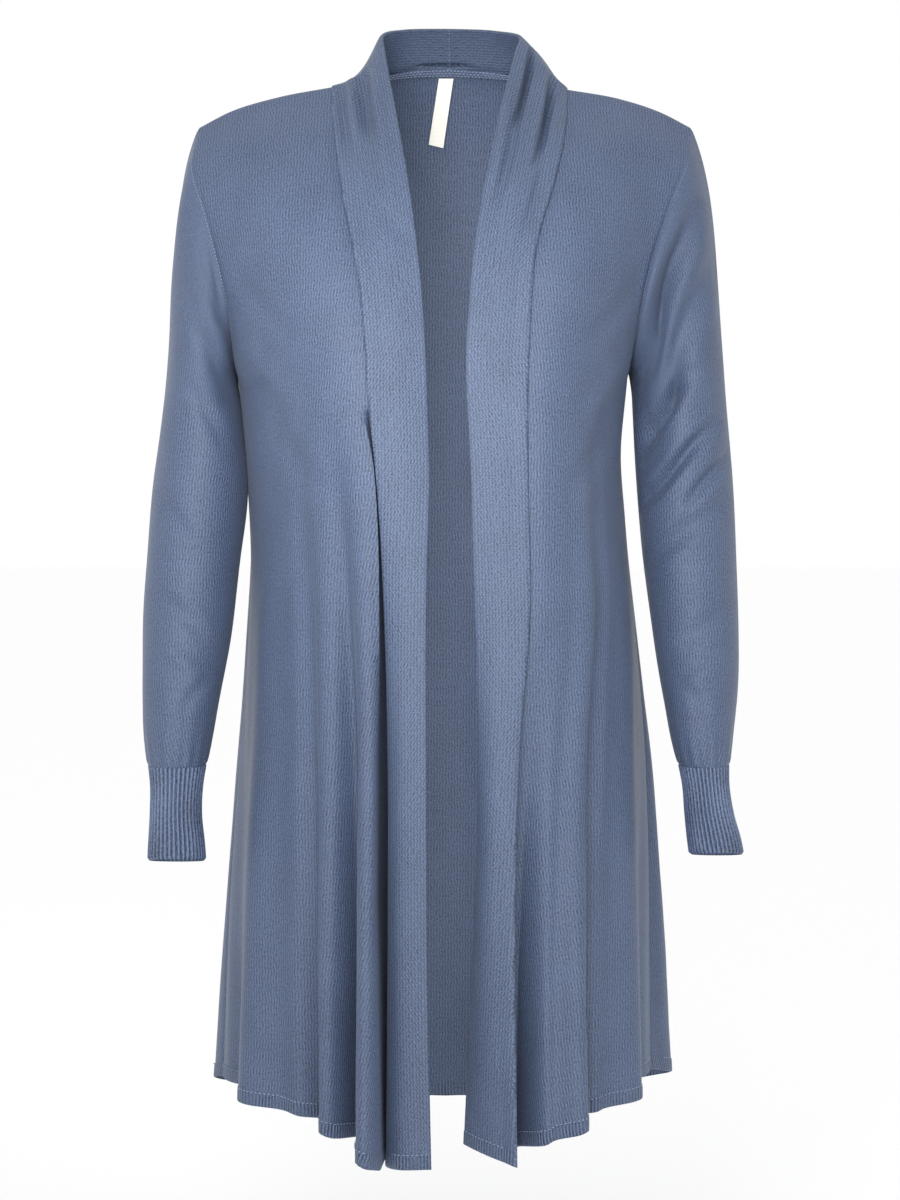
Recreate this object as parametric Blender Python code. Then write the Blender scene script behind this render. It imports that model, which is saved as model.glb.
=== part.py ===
"""A long open-front cardigan in fine rib knit, hollow and in the shape that it has when it is worn.

Metres, +Z up. The front faces -Y, and the wearer's right is -X. The origin is the middle of the line
between the two neck points, where the shoulder seams meet the collar band and the wearer's shoulders
carry the garment. The tables are in millimetres.

A level counts the rows of the cloth from the top down: -1 is the centre back of the neck, 0 the
shoulder seam, 1 the underarm and 2 the hem.
"""

import math
from collections import namedtuple

import bpy
import numpy as np

MM = 0.001

# Thickness of the cloth, and the space that the solids leave at a seam.
KNIT = 1.6
BAND_KNIT = 3.2
TAPE_KNIT = 1.2
LABEL_CLOTH = 1.0
SEAM_GAP = 0.3

# Heights of the two ends of the first row at and below the underarm, and the turned hem.
CHEST_Z = -222.0
HEM_TALL = 11.0
HEM_RISE = 0.7
HEM_STEP = 0.6

# How near a seam a fold dies away, and the power at which it grows from its start to the hem.
SEAM_HOLDS = 12.0
FOLD_GROWS = 1.15

# Rows and columns of each piece.
YOKE_ROWS = 10
BODY_ROWS = 13
SHOULDER_COLUMNS = 10
NECK_COLUMNS = 12
NEAR_COLUMNS = 10
NEAR_SPACING = 7.5
BAND_COLUMNS = 5
CAP_ROWS = 6
ARM_ROWS = 12
CUFF_ROWS = 5

# The rib cuffs: ridges round the wrist, and how far they stand up from the valleys.
CUFF_RIBS = 30
RIB_RISE = 0.9

# How the cloth of a sleeve leaves the armhole at the underarm: shares outwards, forwards and down,
# then what the first and last gain over the shoulder, and how full the cap is.
LEAVES_OUT = 0.3
LEAVES_FORWARD = 0.25
LEAVES_DOWN = 0.75
GAINS_OUT = 0.1
GAINS_DOWN = 0.15
CAP_FULLNESS = 0.75

SIGN = {"right": -1.0, "left": 1.0}

Point = namedtuple("Point", "x y z")
Fold = namedtuple("Fold", "place half_width height start_z")
Front = namedtuple("Front", "level in_x in_y in_rise out_x out_y out_z")
Back = namedtuple("Back", "level y z reach out_x out_y")
Band = namedtuple("Band", "level x y z lift crown")
Ring = namedtuple("Ring", "x y z half_width half_depth")

# The seams, each a smooth curve through these points. The front edges run from the neck point to
# the hem, where the band is sewn on.
BAND_SEAM = {
    "right": (
        Point(-91.5, 0, -1),
        Point(-90, -25, -24),
        Point(-86, -55, -54),
        Point(-78.7, -90, -99),
        Point(-71, -112, -137),
        Point(-64.3, -126, -177),
        Point(-58.6, -138, -256),
        Point(-50.8, -137, -334),
        Point(-44.6, -132, -444),
        Point(-42.3, -129, -540),
        Point(-42.3, -128, -664),
        Point(-44, -128, -863),
    ),
    "left": (
        Point(99, 0, -3),
        Point(97.5, -25, -27),
        Point(94, -50, -49),
        Point(83, -88, -92),
        Point(70.6, -114, -136),
        Point(66.8, -126, -177),
        Point(63.5, -138, -256),
        Point(64, -140, -334),
        Point(65.5, -140, -412),
        Point(56.3, -142, -538),
        Point(53.7, -148, -690),
        Point(56, -156, -857),
    ),
}
BACK_NECK = (
    Point(-91.5, 0, -1),
    Point(-75, 40, 6),
    Point(-48, 62, 10),
    Point(3, 74, 14),
    Point(54, 62, 10),
    Point(82, 40, 5),
    Point(99, 0, -3),
)
SHOULDER = {
    "right": (Point(-91.5, 0, -1), Point(-137, 1, -9.5), Point(-175, 1, -21), Point(-200, 0, -34)),
    "left": (Point(99, 0, -3), Point(142, 1, -10.5), Point(177, 1, -22), Point(200, 0, -34)),
}
ARMHOLE_FRONT = {
    "right": (
        Point(-200, 0, -34),
        Point(-203, -28, -67),
        Point(-192, -48, -105),
        Point(-182, -56, -143),
        Point(-174.5, -50, -180),
        Point(-171.5, -26, -219),
        Point(-169, 8, -232),
    ),
    "left": (
        Point(200, 0, -34),
        Point(194, -30, -62),
        Point(180, -48, -99),
        Point(165, -57, -143),
        Point(156, -50, -187),
        Point(151.5, -26, -219),
        Point(149, 4, -228),
    ),
}
ARMHOLE_BACK = {
    "right": (
        Point(-200, 0, -34),
        Point(-201, 25, -70),
        Point(-193, 41, -110),
        Point(-183, 46, -152),
        Point(-175, 38, -200),
        Point(-169, 8, -232),
    ),
    "left": (
        Point(200, 0, -34),
        Point(199, 25, -70),
        Point(188, 41, -110),
        Point(174, 46, -152),
        Point(160, 36, -200),
        Point(149, 4, -228),
    ),
}
SIDE_SEAM = {
    "right": (
        Point(-169, 8, -232),
        Point(-162, 12, -306),
        Point(-159, 14, -370),
        Point(-163, 18, -470),
        Point(-171, 24, -570),
        Point(-178, 30, -665),
        Point(-185, 36, -820),
    ),
    "left": (
        Point(149, 4, -228),
        Point(143.5, 10, -288),
        Point(147, 12, -350),
        Point(156, 16, -440),
        Point(165, 22, -545),
        Point(169, 28, -650),
        Point(171, 36, -814),
    ),
}

# How each row of a front leaves the band seam and reaches the armhole or side seam: two handles of
# a curve, the first outwards, backwards and up by a share of the row's whole rise, the second
# outwards, backwards and, at the underarm, down.
FRONT_ROWS = (
    Front(level=0.0, in_x=36, in_y=-1, in_rise=0.33, out_x=-36, out_y=-1, out_z=0),
    Front(level=0.25, in_x=38, in_y=-12, in_rise=0.33, out_x=-36, out_y=-16, out_z=0),
    Front(level=0.5, in_x=42, in_y=-14, in_rise=0.33, out_x=-28, out_y=-30, out_z=0),
    Front(level=0.75, in_x=48, in_y=-10, in_rise=0.33, out_x=-14, out_y=-42, out_z=-12),
    Front(level=1.0, in_x=56, in_y=-6, in_rise=0.33, out_x=-1, out_y=-56, out_z=-40),
    Front(level=1.25, in_x=54, in_y=2, in_rise=0.4, out_x=2, out_y=-60, out_z=-16),
    Front(level=1.6, in_x=56, in_y=4, in_rise=0.7, out_x=0, out_y=-64, out_z=0),
    Front(level=2.0, in_x=60, in_y=4, in_rise=1.0, out_x=-8, out_y=-72, out_z=0),
)

# The centre back line, and the handles of each back row: how far it runs flat from the centre, and
# how it comes round to the side.
BACK_ROWS = (
    Back(level=0.0, y=74, z=14, reach=60, out_x=-50, out_y=30),
    Back(level=0.25, y=93, z=-45, reach=72, out_x=-34, out_y=34),
    Back(level=0.5, y=103, z=-105, reach=80, out_x=-18, out_y=34),
    Back(level=0.75, y=106, z=-165, reach=84, out_x=-8, out_y=38),
    Back(level=1.0, y=104, z=-225, reach=86, out_x=2, out_y=50),
    Back(level=1.25, y=101, z=-380, reach=86, out_x=4, out_y=50),
    Back(level=1.6, y=116, z=-600, reach=92, out_x=18, out_y=54),
    Back(level=2.0, y=138, z=-856, reach=100, out_x=46, out_y=58),
)

# Folds that hang from the bust and the waist: how far along the row from the band seam or from the
# centre back, half their width, how far they stand out at the hem, and where they begin.
FRONT_FOLDS = {
    "right": (
        Fold(place=15, half_width=14, height=42, start_z=-290),
        Fold(place=33, half_width=15, height=-30, start_z=-270),
        Fold(place=54, half_width=17, height=14, start_z=-250),
        Fold(place=75, half_width=17, height=-16, start_z=-250),
        Fold(place=118, half_width=32, height=9, start_z=-330),
    ),
    "left": (
        Fold(place=16, half_width=15, height=-40, start_z=-430),
        Fold(place=54, half_width=19, height=17, start_z=-270),
        Fold(place=75, half_width=17, height=-17, start_z=-270),
        Fold(place=112, half_width=28, height=12, start_z=-360),
    ),
}
BACK_FOLDS = {
    "right": (
        Fold(place=62, half_width=42, height=15, start_z=-330),
        Fold(place=118, half_width=40, height=-17, start_z=-300),
        Fold(place=172, half_width=38, height=16, start_z=-330),
    ),
    "left": (
        Fold(place=48, half_width=40, height=-10, start_z=-380),
        Fold(place=100, half_width=40, height=18, start_z=-320),
        Fold(place=158, half_width=40, height=-16, start_z=-300),
        Fold(place=205, half_width=30, height=10, start_z=-360),
    ),
}

# The folded edge of the collar band at each level, with how far the band swells near its seam
# (lift) and near its edge (crown).
BAND_EDGE = {
    "right": (
        Band(level=-1.0, x=3, y=52, z=52, lift=3, crown=2),
        Band(level=-0.6, x=-34, y=44, z=50.5, lift=3, crown=3),
        Band(level=-0.3, x=-51, y=24, z=45, lift=0, crown=2),
        Band(level=0.0, x=-50, y=2, z=30, lift=0, crown=1),
        Band(level=0.25, x=-39, y=-46, z=-25, lift=5, crown=2),
        Band(level=0.45, x=-29, y=-85, z=-80, lift=6, crown=2),
        Band(level=0.62, x=-22.5, y=-109, z=-126, lift=5, crown=2),
        Band(level=0.8, x=-17.5, y=-124, z=-173, lift=5, crown=2),
        Band(level=1.05, x=-13.2, y=-135, z=-256, lift=5, crown=3),
        Band(level=1.15, x=-11.6, y=-139, z=-317, lift=6, crown=3),
        Band(level=1.25, x=-13.4, y=-142, z=-381, lift=9, crown=4),
        Band(level=1.5, x=-14.3, y=-147, z=-540, lift=15, crown=6),
        Band(level=1.8, x=-13.6, y=-150, z=-731, lift=17, crown=6),
        Band(level=2.0, x=-11, y=-148, z=-861, lift=17, crown=5),
    ),
    "left": (
        Band(level=-1.0, x=3, y=52, z=52, lift=3, crown=2),
        Band(level=-0.6, x=42, y=44, z=49.5, lift=3, crown=3),
        Band(level=-0.3, x=61, y=24, z=43, lift=0, crown=2),
        Band(level=0.0, x=56, y=1, z=25, lift=0, crown=3),
        Band(level=0.25, x=43, y=-49, z=-27, lift=4, crown=4),
        Band(level=0.45, x=32, y=-87, z=-78, lift=4, crown=4),
        Band(level=0.62, x=23.5, y=-111, z=-128, lift=4, crown=3),
        Band(level=0.8, x=18.5, y=-124, z=-175, lift=4, crown=3),
        Band(level=1.05, x=16.5, y=-136, z=-256, lift=4, crown=3),
        Band(level=1.12, x=18.9, y=-139, z=-298, lift=4, crown=3),
        Band(level=1.25, x=21.5, y=-139, z=-381, lift=5, crown=4),
        Band(level=1.5, x=25.7, y=-131, z=-540, lift=11, crown=9),
        Band(level=1.68, x=24, y=-127, z=-653, lift=12, crown=11),
        Band(level=1.85, x=19, y=-124, z=-752, lift=8, crown=8),
        Band(level=2.0, x=14.5, y=-122, z=-846, lift=4, crown=4),
    ),
}

# The sleeves from the upper arm to the cuff, then the cuffs to the wrist.
SLEEVE = {
    "right": (
        Ring(-198.6, -1, -262, 31.4, 50),
        Ring(-200.1, -2, -321, 37.6, 49),
        Ring(-206, -7, -387, 37.6, 46),
        Ring(-211.4, -17, -451, 35.1, 42),
        Ring(-215, -29, -499, 30.6, 38),
        Ring(-216.8, -38, -531, 26.6, 34),
        Ring(-217.3, -43, -551, 23, 30),
    ),
    "left": (
        Ring(191.8, 0, -262, 37.7, 50),
        Ring(195.9, -2, -321, 38.5, 49),
        Ring(200.2, -7, -387, 37.3, 46),
        Ring(205, -17, -451, 33.9, 42),
        Ring(207.9, -29, -499, 29.2, 38),
        Ring(208.9, -38, -531, 24.3, 33),
        Ring(210, -43, -551, 19.8, 29),
    ),
}
CUFF = {
    "right": (
        Ring(-217.3, -43, -551, 22.6, 29.5),
        Ring(-217.6, -46, -566, 20.6, 27),
        Ring(-218, -51, -590, 20.1, 26),
        Ring(-217.2, -56, -612, 21.8, 27),
        Ring(-216.8, -59, -627, 22.8, 28),
    ),
    "left": (
        Ring(210, -43, -551, 19.6, 28.5),
        Ring(211.4, -46, -566, 18.2, 26.5),
        Ring(214, -51, -590, 19, 26),
        Ring(217.6, -56, -610, 20.8, 27),
        Ring(219.5, -59, -622, 21.2, 28),
    ),
}

# The serged neck tape on the inside of the seam, and the plain label that hangs from it.
TAPE_FROM = 2
TAPE_ABOVE = 0.8
TAPE_TALL_MIDDLE = 7.5
TAPE_TALL_END = 3.5
TAPE_STANDS_OFF = 2.2
LABEL_TOP_X = 1.0
LABEL_LEANS = -8.5
LABEL_WIDE = 11.5
LABEL_LONG = 58.0
LABEL_FROM = 2.0
LABEL_OFF_TOP = 0.8
LABEL_OFF_BOTTOM = 3.0
LABEL_ROWS = 8
LABEL_COLUMNS = 2

# Blue viscose knit, the cream tape of the label, and the turn at which an edge shades as a corner.
KNIT_BLUE = (0.145, 0.205, 0.335, 1.0)
LABEL_CREAM = (0.87, 0.84, 0.76, 1.0)
CLOTH_ROUGHNESS = 0.85
CORNER = math.radians(50)


def through(knots, values, at):
    """Smooth curve through the values at the knots, read at one place."""
    knots = np.asarray(knots, float)
    values = np.asarray(values, float)
    slopes = np.gradient(values, knots, axis=0)
    i = int(np.clip(np.searchsorted(knots, at) - 1, 0, len(knots) - 2))
    span = knots[i + 1] - knots[i]
    t = (at - knots[i]) / span
    start = (1 + 2 * t) * (1 - t) ** 2 * values[i] + t * (1 - t) ** 2 * span * slopes[i]
    end = t * t * (3 - 2 * t) * values[i + 1] + t * t * (t - 1) * span * slopes[i + 1]
    return start + end


def row_at(table, level):
    """The row of a table of levels at any level between its own."""
    levels = [row.level for row in table]
    return type(table[0])(*through(levels, table, level))


def lengths_along(points):
    """The distance of each point from the first, along the line through them."""
    steps = np.linalg.norm(np.diff(points, axis=0), axis=1)
    return np.concatenate([[0.0], np.cumsum(steps)])


def dense(points, per_span=16):
    """Many points on the smooth curve through the given ones."""
    points = np.asarray(points, float)
    knots = lengths_along(points)
    places = np.linspace(0.0, knots[-1], per_span * (len(points) - 1) + 1)
    return np.array([through(knots, points, place) for place in places])


def at_distances(line, distances):
    """Points of a line of points, at these distances along it."""
    along = lengths_along(line)
    return np.stack([np.interp(distances, along, line[:, k]) for k in range(3)], axis=1)


def evenly(points, count):
    """The smooth curve through the points, cut into equal lengths."""
    line = dense(points)
    return at_distances(line, np.linspace(0.0, lengths_along(line)[-1], count + 1))


def at_height(points, z):
    """The point of a seam, which falls all the way, at one height."""
    line = dense(points)
    return np.array([np.interp(-z, -line[:, 2], line[:, k]) for k in range(3)])


def bezier(start, handle_start, handle_end, end, count=48):
    """Points on a cubic curve."""
    t = np.linspace(0.0, 1.0, count + 1)[:, None]
    return (
        (1 - t) ** 3 * start
        + 3 * t * (1 - t) ** 2 * handle_start
        + 3 * t * t * (1 - t) * handle_end
        + t**3 * end
    )


def smoothstep(t):
    """0 below 0, 1 above 1, and a smooth step between."""
    t = min(1.0, max(0.0, t))
    return t * t * (3 - 2 * t)


def row_levels():
    """The level of each row of a front or of the back, with a narrow step where the hem begins."""
    hem = HEM_TALL / (SIDE_SEAM["left"][0].z - SIDE_SEAM["left"][-1].z)
    step = hem * HEM_STEP / HEM_TALL
    yoke = [row / YOKE_ROWS for row in range(YOKE_ROWS)]
    body = [1 + (1 - hem - step) * row / BODY_ROWS for row in range(BODY_ROWS + 1)]
    return yoke + body + [2 - hem, 2.0]


LEVELS = row_levels()


def near_and_far(length):
    """Distances of a front's columns from the band seam: close together where the folds are deep."""
    near = [NEAR_SPACING * column for column in range(NEAR_COLUMNS)]
    columns = 2 * SHOULDER_COLUMNS
    far = np.linspace(NEAR_SPACING * NEAR_COLUMNS, length, columns - NEAR_COLUMNS + 1)
    return np.concatenate([near, far])


def folded(row, places, folds, hem_z, outward):
    """A row pushed in and out by the folds that cross it, in plan."""
    ahead = np.gradient(row, axis=0)
    across = np.stack([-ahead[:, 1], ahead[:, 0], np.zeros(len(row))], axis=1) * outward
    across /= np.linalg.norm(across, axis=1)[:, None]
    push = np.zeros(len(row))
    for fold in folds:
        reach = np.clip((places - fold.place) / fold.half_width, -1.0, 1.0)
        grown = (fold.start_z - row[:, 2]) / (fold.start_z - hem_z)
        grown = np.clip(grown, 0.0, None) ** FOLD_GROWS
        push += fold.height * np.cos(reach * math.pi / 2) ** 2 * grown
    from_seam = np.minimum(places, places[-1] - places) / SEAM_HOLDS
    push *= np.sin(np.clip(from_seam, 0.0, 1.0) * math.pi / 2)
    return row + across * push[:, None]


def outer_seam(side, armhole):
    """The outer end of each row: down the armhole, then down the side seam."""
    yoke = evenly(armhole[side], YOKE_ROWS)
    top, hem = SIDE_SEAM[side][0].z, SIDE_SEAM[side][-1].z
    heights = [top + (hem - top) * (level - 1) for level in LEVELS[YOKE_ROWS:]]
    body = [at_height(SIDE_SEAM[side], z) for z in heights]
    return np.concatenate([yoke[:-1], body])


def band_seam(side):
    """The inner end of each row of a front, where the band is sewn on."""
    top, hem = BAND_SEAM[side][0].z, BAND_SEAM[side][-1].z
    heights = [
        top + (CHEST_Z - top) * level if level < 1 else CHEST_Z + (hem - CHEST_Z) * (level - 1)
        for level in LEVELS
    ]
    return np.array([at_height(BAND_SEAM[side], z) for z in heights])


def shoulder_seam(side):
    """The points of a shoulder seam as the back has them, from the neck to the sleeve."""
    return evenly(SHOULDER[side], SHOULDER_COLUMNS)


def halved(points):
    """The same line with one more point in the middle of each stretch."""
    middles = (points[1:] + points[:-1]) / 2
    line = np.empty((len(points) + len(middles), 3))
    line[0::2] = points
    line[1::2] = middles
    return line


def settle_top(grid, top):
    """Bends the rows of the yoke so that row 0 is exactly the seam given, less and less going down."""
    off = top - grid[0]
    for row in range(YOKE_ROWS):
        grid[row] += off * (1 - smoothstep(row / YOKE_ROWS))
    return grid


def front_grid(side):
    """Outer points of a front: rows from the shoulder to the hem, columns from the band to the side."""
    sign = SIGN[side]
    inner, outer = band_seam(side), outer_seam(side, ARMHOLE_FRONT)
    rows = []
    for level, start, end in zip(LEVELS, inner, outer):
        shape = row_at(FRONT_ROWS, level)
        rise = end[2] - start[2]
        handle_start = start + np.array([sign * shape.in_x, shape.in_y, rise * shape.in_rise])
        out_z = shape.out_z - rise * min(1 / 3, 1 - shape.in_rise)
        handle_end = end + np.array([sign * shape.out_x, shape.out_y, out_z])
        line = bezier(start, handle_start, handle_end, end)
        places = near_and_far(lengths_along(line)[-1])
        row = at_distances(line, places)
        rows.append(folded(row, places, FRONT_FOLDS[side], outer[-1][2], -sign))
    return settle_top(np.array(rows), halved(shoulder_seam(side)))


def back_half(side):
    """Half of the back's outer points, from the centre back to the side."""
    sign = SIGN[side]
    middle = BACK_NECK[len(BACK_NECK) // 2]
    outer = outer_seam(side, ARMHOLE_BACK)
    neck = evenly(BACK_NECK, NECK_COLUMNS)
    neck_half = neck[NECK_COLUMNS // 2 :: -1] if side == "right" else neck[NECK_COLUMNS // 2 :]
    top = np.concatenate([neck_half, shoulder_seam(side)[1:]])
    top_shares = lengths_along(top) / lengths_along(top)[-1]
    even_shares = np.linspace(0.0, 1.0, len(top))
    rows = []
    for level, end in zip(LEVELS, outer):
        shape = row_at(BACK_ROWS, level)
        start = np.array([middle.x * (2 - level) / 2, shape.y, shape.z])
        rise = (end[2] - start[2]) / 3
        handle_start = start + np.array([sign * shape.reach, 0.0, rise * 0.2])
        handle_end = end + np.array([sign * shape.out_x, shape.out_y, -rise])
        line = bezier(start, handle_start, handle_end, end)
        length = lengths_along(line)[-1]
        blend = smoothstep(level)
        places = length * (top_shares * (1 - blend) + even_shares * blend)
        row = at_distances(line, places)
        rows.append(folded(row, places, BACK_FOLDS[side], outer[-1][2], sign))
    return settle_top(np.array(rows), top)


def back_grid():
    """Outer points of the back, from its right side to its left."""
    right, left = back_half("right"), back_half("left")
    return np.concatenate([right[:, ::-1], left[:, 1:]], axis=1)


def band_grid(side, front, back):
    """Outer points of a band: rows from the hem up and round to the centre back, seam to edge."""
    centre = SHOULDER_COLUMNS + NECK_COLUMNS // 2
    neck_point = SHOULDER_COLUMNS if side == "right" else SHOULDER_COLUMNS + NECK_COLUMNS
    toward = 1 if side == "right" else -1
    neck = [back[0, column] for column in range(neck_point + toward, centre + toward, toward)]
    neck_levels = [-(k + 1) / len(neck) for k in range(len(neck))]
    seam = np.array(list(front[::-1, 0]) + neck)
    levels = LEVELS[::-1] + neck_levels
    edges = [row_at(BAND_EDGE[side], level) for level in levels]
    folded_edge = np.array([[edge.x, edge.y, edge.z] for edge in edges])
    up = np.gradient(seam + folded_edge, axis=0)
    up[-1] = [-SIGN[side], 0.0, 0.0]
    rows = []
    for start, end, along, edge in zip(seam, folded_edge, up, edges):
        width = end - start
        out = np.cross(width, along) * -SIGN[side]
        out /= np.linalg.norm(out)
        handle_start = start + width / 3 + out * edge.lift
        handle_end = end - width / 3 + out * edge.crown
        line = bezier(start, handle_start, handle_end, end)
        places = np.linspace(0.0, lengths_along(line)[-1], BAND_COLUMNS + 1)
        rows.append(at_distances(line, places))
    return np.array(rows)


def ring_points(ring, sign, count, rise=None):
    """A closed ring round the arm, from the side nearest the body, forwards and round."""
    points = []
    for k in range(count):
        turn = 2 * math.pi * k / count
        out = 0.0 if rise is None else rise * (k % 2)
        x = ring.x - sign * math.cos(turn) * (ring.half_width + out)
        y = ring.y - math.sin(turn) * (ring.half_depth + out)
        points.append([x, y, ring.z])
    return np.array(points)


def rings_between(table, count):
    """Rings spaced evenly down a table of rings."""
    down = [-ring.z for ring in table]
    heights = np.linspace(down[0], down[-1], count + 1)
    return [Ring(*through(down, table, height)) for height in heights]


def armhole_loop(front, back, side):
    """The armhole from the underarm, up the front, over the shoulder and down the back."""
    edge = 0 if side == "right" else -1
    up_front = front[YOKE_ROWS::-1, -1]
    down_back = back[1:YOKE_ROWS, edge]
    return np.concatenate([up_front, down_back])


def sleeve_grid(side, front, back):
    """Outer points of a sleeve, a closed tube from the armhole to the cuff."""
    sign = SIGN[side]
    loop = armhole_loop(front, back, side)
    count = len(loop)
    arm = [ring_points(ring, sign, count) for ring in rings_between(SLEEVE[side], ARM_ROWS)]
    down_the_arm = arm[1] - arm[0]
    down_the_arm /= np.linalg.norm(down_the_arm, axis=1)[:, None]
    turns = 2 * math.pi * np.arange(count) / count
    over = (1 - np.cos(turns)) / 2
    leaving = np.stack(
        [
            sign * (LEAVES_OUT + GAINS_OUT * over),
            -LEAVES_FORWARD * np.sin(turns),
            -LEAVES_DOWN - GAINS_DOWN * over,
        ],
        axis=1,
    )
    leaving /= np.linalg.norm(leaving, axis=1)[:, None]
    span = np.linalg.norm(arm[0] - loop, axis=1)[:, None]
    cap = []
    for row in range(CAP_ROWS):
        t = row / CAP_ROWS
        pull = span * leaving * CAP_FULLNESS
        start = (1 + 2 * t) * (1 - t) ** 2 * loop + t * (1 - t) ** 2 * pull
        end = t * t * (3 - 2 * t) * arm[0] + t * t * (t - 1) * span * down_the_arm
        cap.append(start + end)
    return np.array(cap + arm)


def cuff_table(side):
    """The rings of a cuff, a seam gap below the sleeve."""
    return [ring._replace(z=ring.z - SEAM_GAP) for ring in CUFF[side]]


def cuff_grid(side):
    """Outer points of a rib cuff, every second point standing up as a ridge."""
    rings = rings_between(cuff_table(side), CUFF_ROWS)
    return np.array([ring_points(ring, SIGN[side], 2 * CUFF_RIBS, RIB_RISE) for ring in rings])


def normals_of(grid, closed, flip):
    """Unit normals of a grid of points, pointing out of the garment."""
    down = np.gradient(grid, axis=0)
    if closed:
        across = (np.roll(grid, -1, axis=1) - np.roll(grid, 1, axis=1)) / 2
    else:
        across = np.gradient(grid, axis=1)
    normals = np.cross(down, across) * (-1.0 if flip else 1.0)
    return normals / np.linalg.norm(normals, axis=2)[:, :, None]


def key_of(point):
    """A point rounded, so that pieces that share a seam find each other."""
    return tuple(np.round(point, 3))


def unit(vector):
    """The vector at length 1."""
    return vector / np.linalg.norm(vector)


def share_seam_normals(sheets):
    """Gives the pieces that meet at a seam one normal there, so that their walls meet in a mitre.

    Where the body meets a sleeve or a band, the body's panels count as one.
    """
    meetings = {}
    for name, sheet in sheets.items():
        part = "body" if name.startswith(("back", "front")) else name.split("_")[0]
        for point, normal in zip(sheet["grid"].reshape(-1, 3), sheet["normals"].reshape(-1, 3)):
            parts = meetings.setdefault(key_of(point), {})
            parts[part] = parts.get(part, np.zeros(3)) + normal
    for sheet in sheets.values():
        flat = sheet["normals"].reshape(-1, 3)
        for i, point in enumerate(sheet["grid"].reshape(-1, 3)):
            parts = meetings[key_of(point)].values()
            flat[i] = unit(sum(unit(total) for total in parts))


def draw_back(edge, inside, normals, closed):
    """How far the points of one edge move so that it ends half a seam gap short of the seam."""
    along = np.gradient(edge, axis=0)
    if closed:
        along = np.roll(edge, -1, axis=0) - np.roll(edge, 1, axis=0)
    inwards = np.cross(along, normals)
    inwards /= np.linalg.norm(inwards, axis=1)[:, None]
    if np.sum(inwards * (inside - edge)) < 0:
        inwards = -inwards
    return inwards * SEAM_GAP / 2


def open_the_seams(sheet):
    """Draws each sewn edge of a piece back from its seam."""
    grid, normals = sheet["grid"], sheet["normals"]
    edges = {
        "top": np.s_[0, :],
        "bottom": np.s_[-1, :],
        "start": np.s_[:, 0],
        "end": np.s_[:, -1],
    }
    beside = {
        "top": np.s_[1, :],
        "bottom": np.s_[-2, :],
        "start": np.s_[:, 1],
        "end": np.s_[:, -2],
    }
    moved = grid.copy()
    for name in sheet["sewn"]:
        edge = edges[name]
        moved[edge] += draw_back(grid[edge], grid[beside[name]], normals[edge], sheet["closed"])
    sheet["grid"] = moved


def straighten_between(sheet):
    """Puts every second point of a front's shoulder edge on the line between its neighbours.

    The back has half as many points there, and the two edges then run side by side.
    """
    for points in (sheet["grid"][0], sheet["normals"][0]):
        points[1:-1:2] = (points[0:-2:2] + points[2::2]) / 2


def level_the_ends(sheet):
    """Turns the normals of a tube's last ring, or both, into the plane of the ring."""
    for row in sheet["flat_rings"]:
        sheet["normals"][row, :, 2] = 0.0
        size = np.linalg.norm(sheet["normals"][row], axis=1)[:, None]
        sheet["normals"][row] /= size


def raise_the_hem(sheet):
    """Moves the outer points of the turned hem out, because it is double there."""
    rows = slice(-2, None) if sheet["hem"] == "bottom" else slice(0, 2)
    outer = sheet["grid"].copy()
    outer[rows] += sheet["normals"][rows] * HEM_RISE
    return outer


def wall_mesh(name, outer, inner, closed):
    """A closed mesh between an outer and an inner grid of points."""
    rows, columns = outer.shape[:2]
    points = np.concatenate([outer.reshape(-1, 3), inner.reshape(-1, 3)]) * MM
    half = rows * columns
    last = columns if closed else columns - 1
    faces = []
    for row in range(rows - 1):
        for column in range(last):
            a = row * columns + column
            b = row * columns + (column + 1) % columns
            c, d = b + columns, a + columns
            faces.append((a, b, c, d))
            faces.append((half + d, half + c, half + b, half + a))
    for column in range(last):
        a, b = column, (column + 1) % columns
        faces.append((b, a, half + a, half + b))
        c, d = (rows - 1) * columns + a, (rows - 1) * columns + b
        faces.append((c, d, half + d, half + c))
    if not closed:
        for row in range(rows - 1):
            a, b = row * columns, (row + 1) * columns
            faces.append((a, b, half + b, half + a))
            c, d = a + columns - 1, b + columns - 1
            faces.append((d, c, half + c, half + d))
    mesh = bpy.data.meshes.new(name)
    mesh.from_pydata([tuple(point) for point in points], [], faces)
    mesh.validate()
    return mesh


def cut_at_the_shoulder(outer, inner):
    """The two lengths of a band's wall, below and behind the neck point, a seam gap apart.

    The strip turns sharply there, so each length is a solid of its own.
    """
    lengths = []
    for rows, end, beside in ((np.s_[: len(LEVELS)], -1, -2), (np.s_[len(LEVELS) - 1 :], 0, 1)):
        length = [outer[rows].copy(), inner[rows].copy()]
        for points in length:
            away = points[beside] - points[end]
            points[end] += away / np.linalg.norm(away, axis=1)[:, None] * SEAM_GAP / 2
        lengths.append(length)
    return lengths


def cloth_material(name, colour, roughness):
    """A plain cloth finish."""
    material = bpy.data.materials.new(name)
    material.use_nodes = True
    shader = material.node_tree.nodes["Principled BSDF"]
    shader.inputs["Base Color"].default_value = colour
    shader.inputs["Roughness"].default_value = roughness
    shader.inputs["Metallic"].default_value = 0.0
    return material


def add_piece(name, outer, inner, closed, flip, collection, colour=KNIT_BLUE):
    """One named piece of cloth, as a solid wall."""
    mesh = wall_mesh(name, outer, inner, closed)
    if not flip:
        mesh.flip_normals()
    mesh.materials.append(cloth_material(name, colour, CLOTH_ROUGHNESS))
    mesh.shade_smooth()
    mesh.set_sharp_from_angle(angle=CORNER)
    piece = bpy.data.objects.new(name, mesh)
    collection.objects.link(piece)
    return piece


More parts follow.
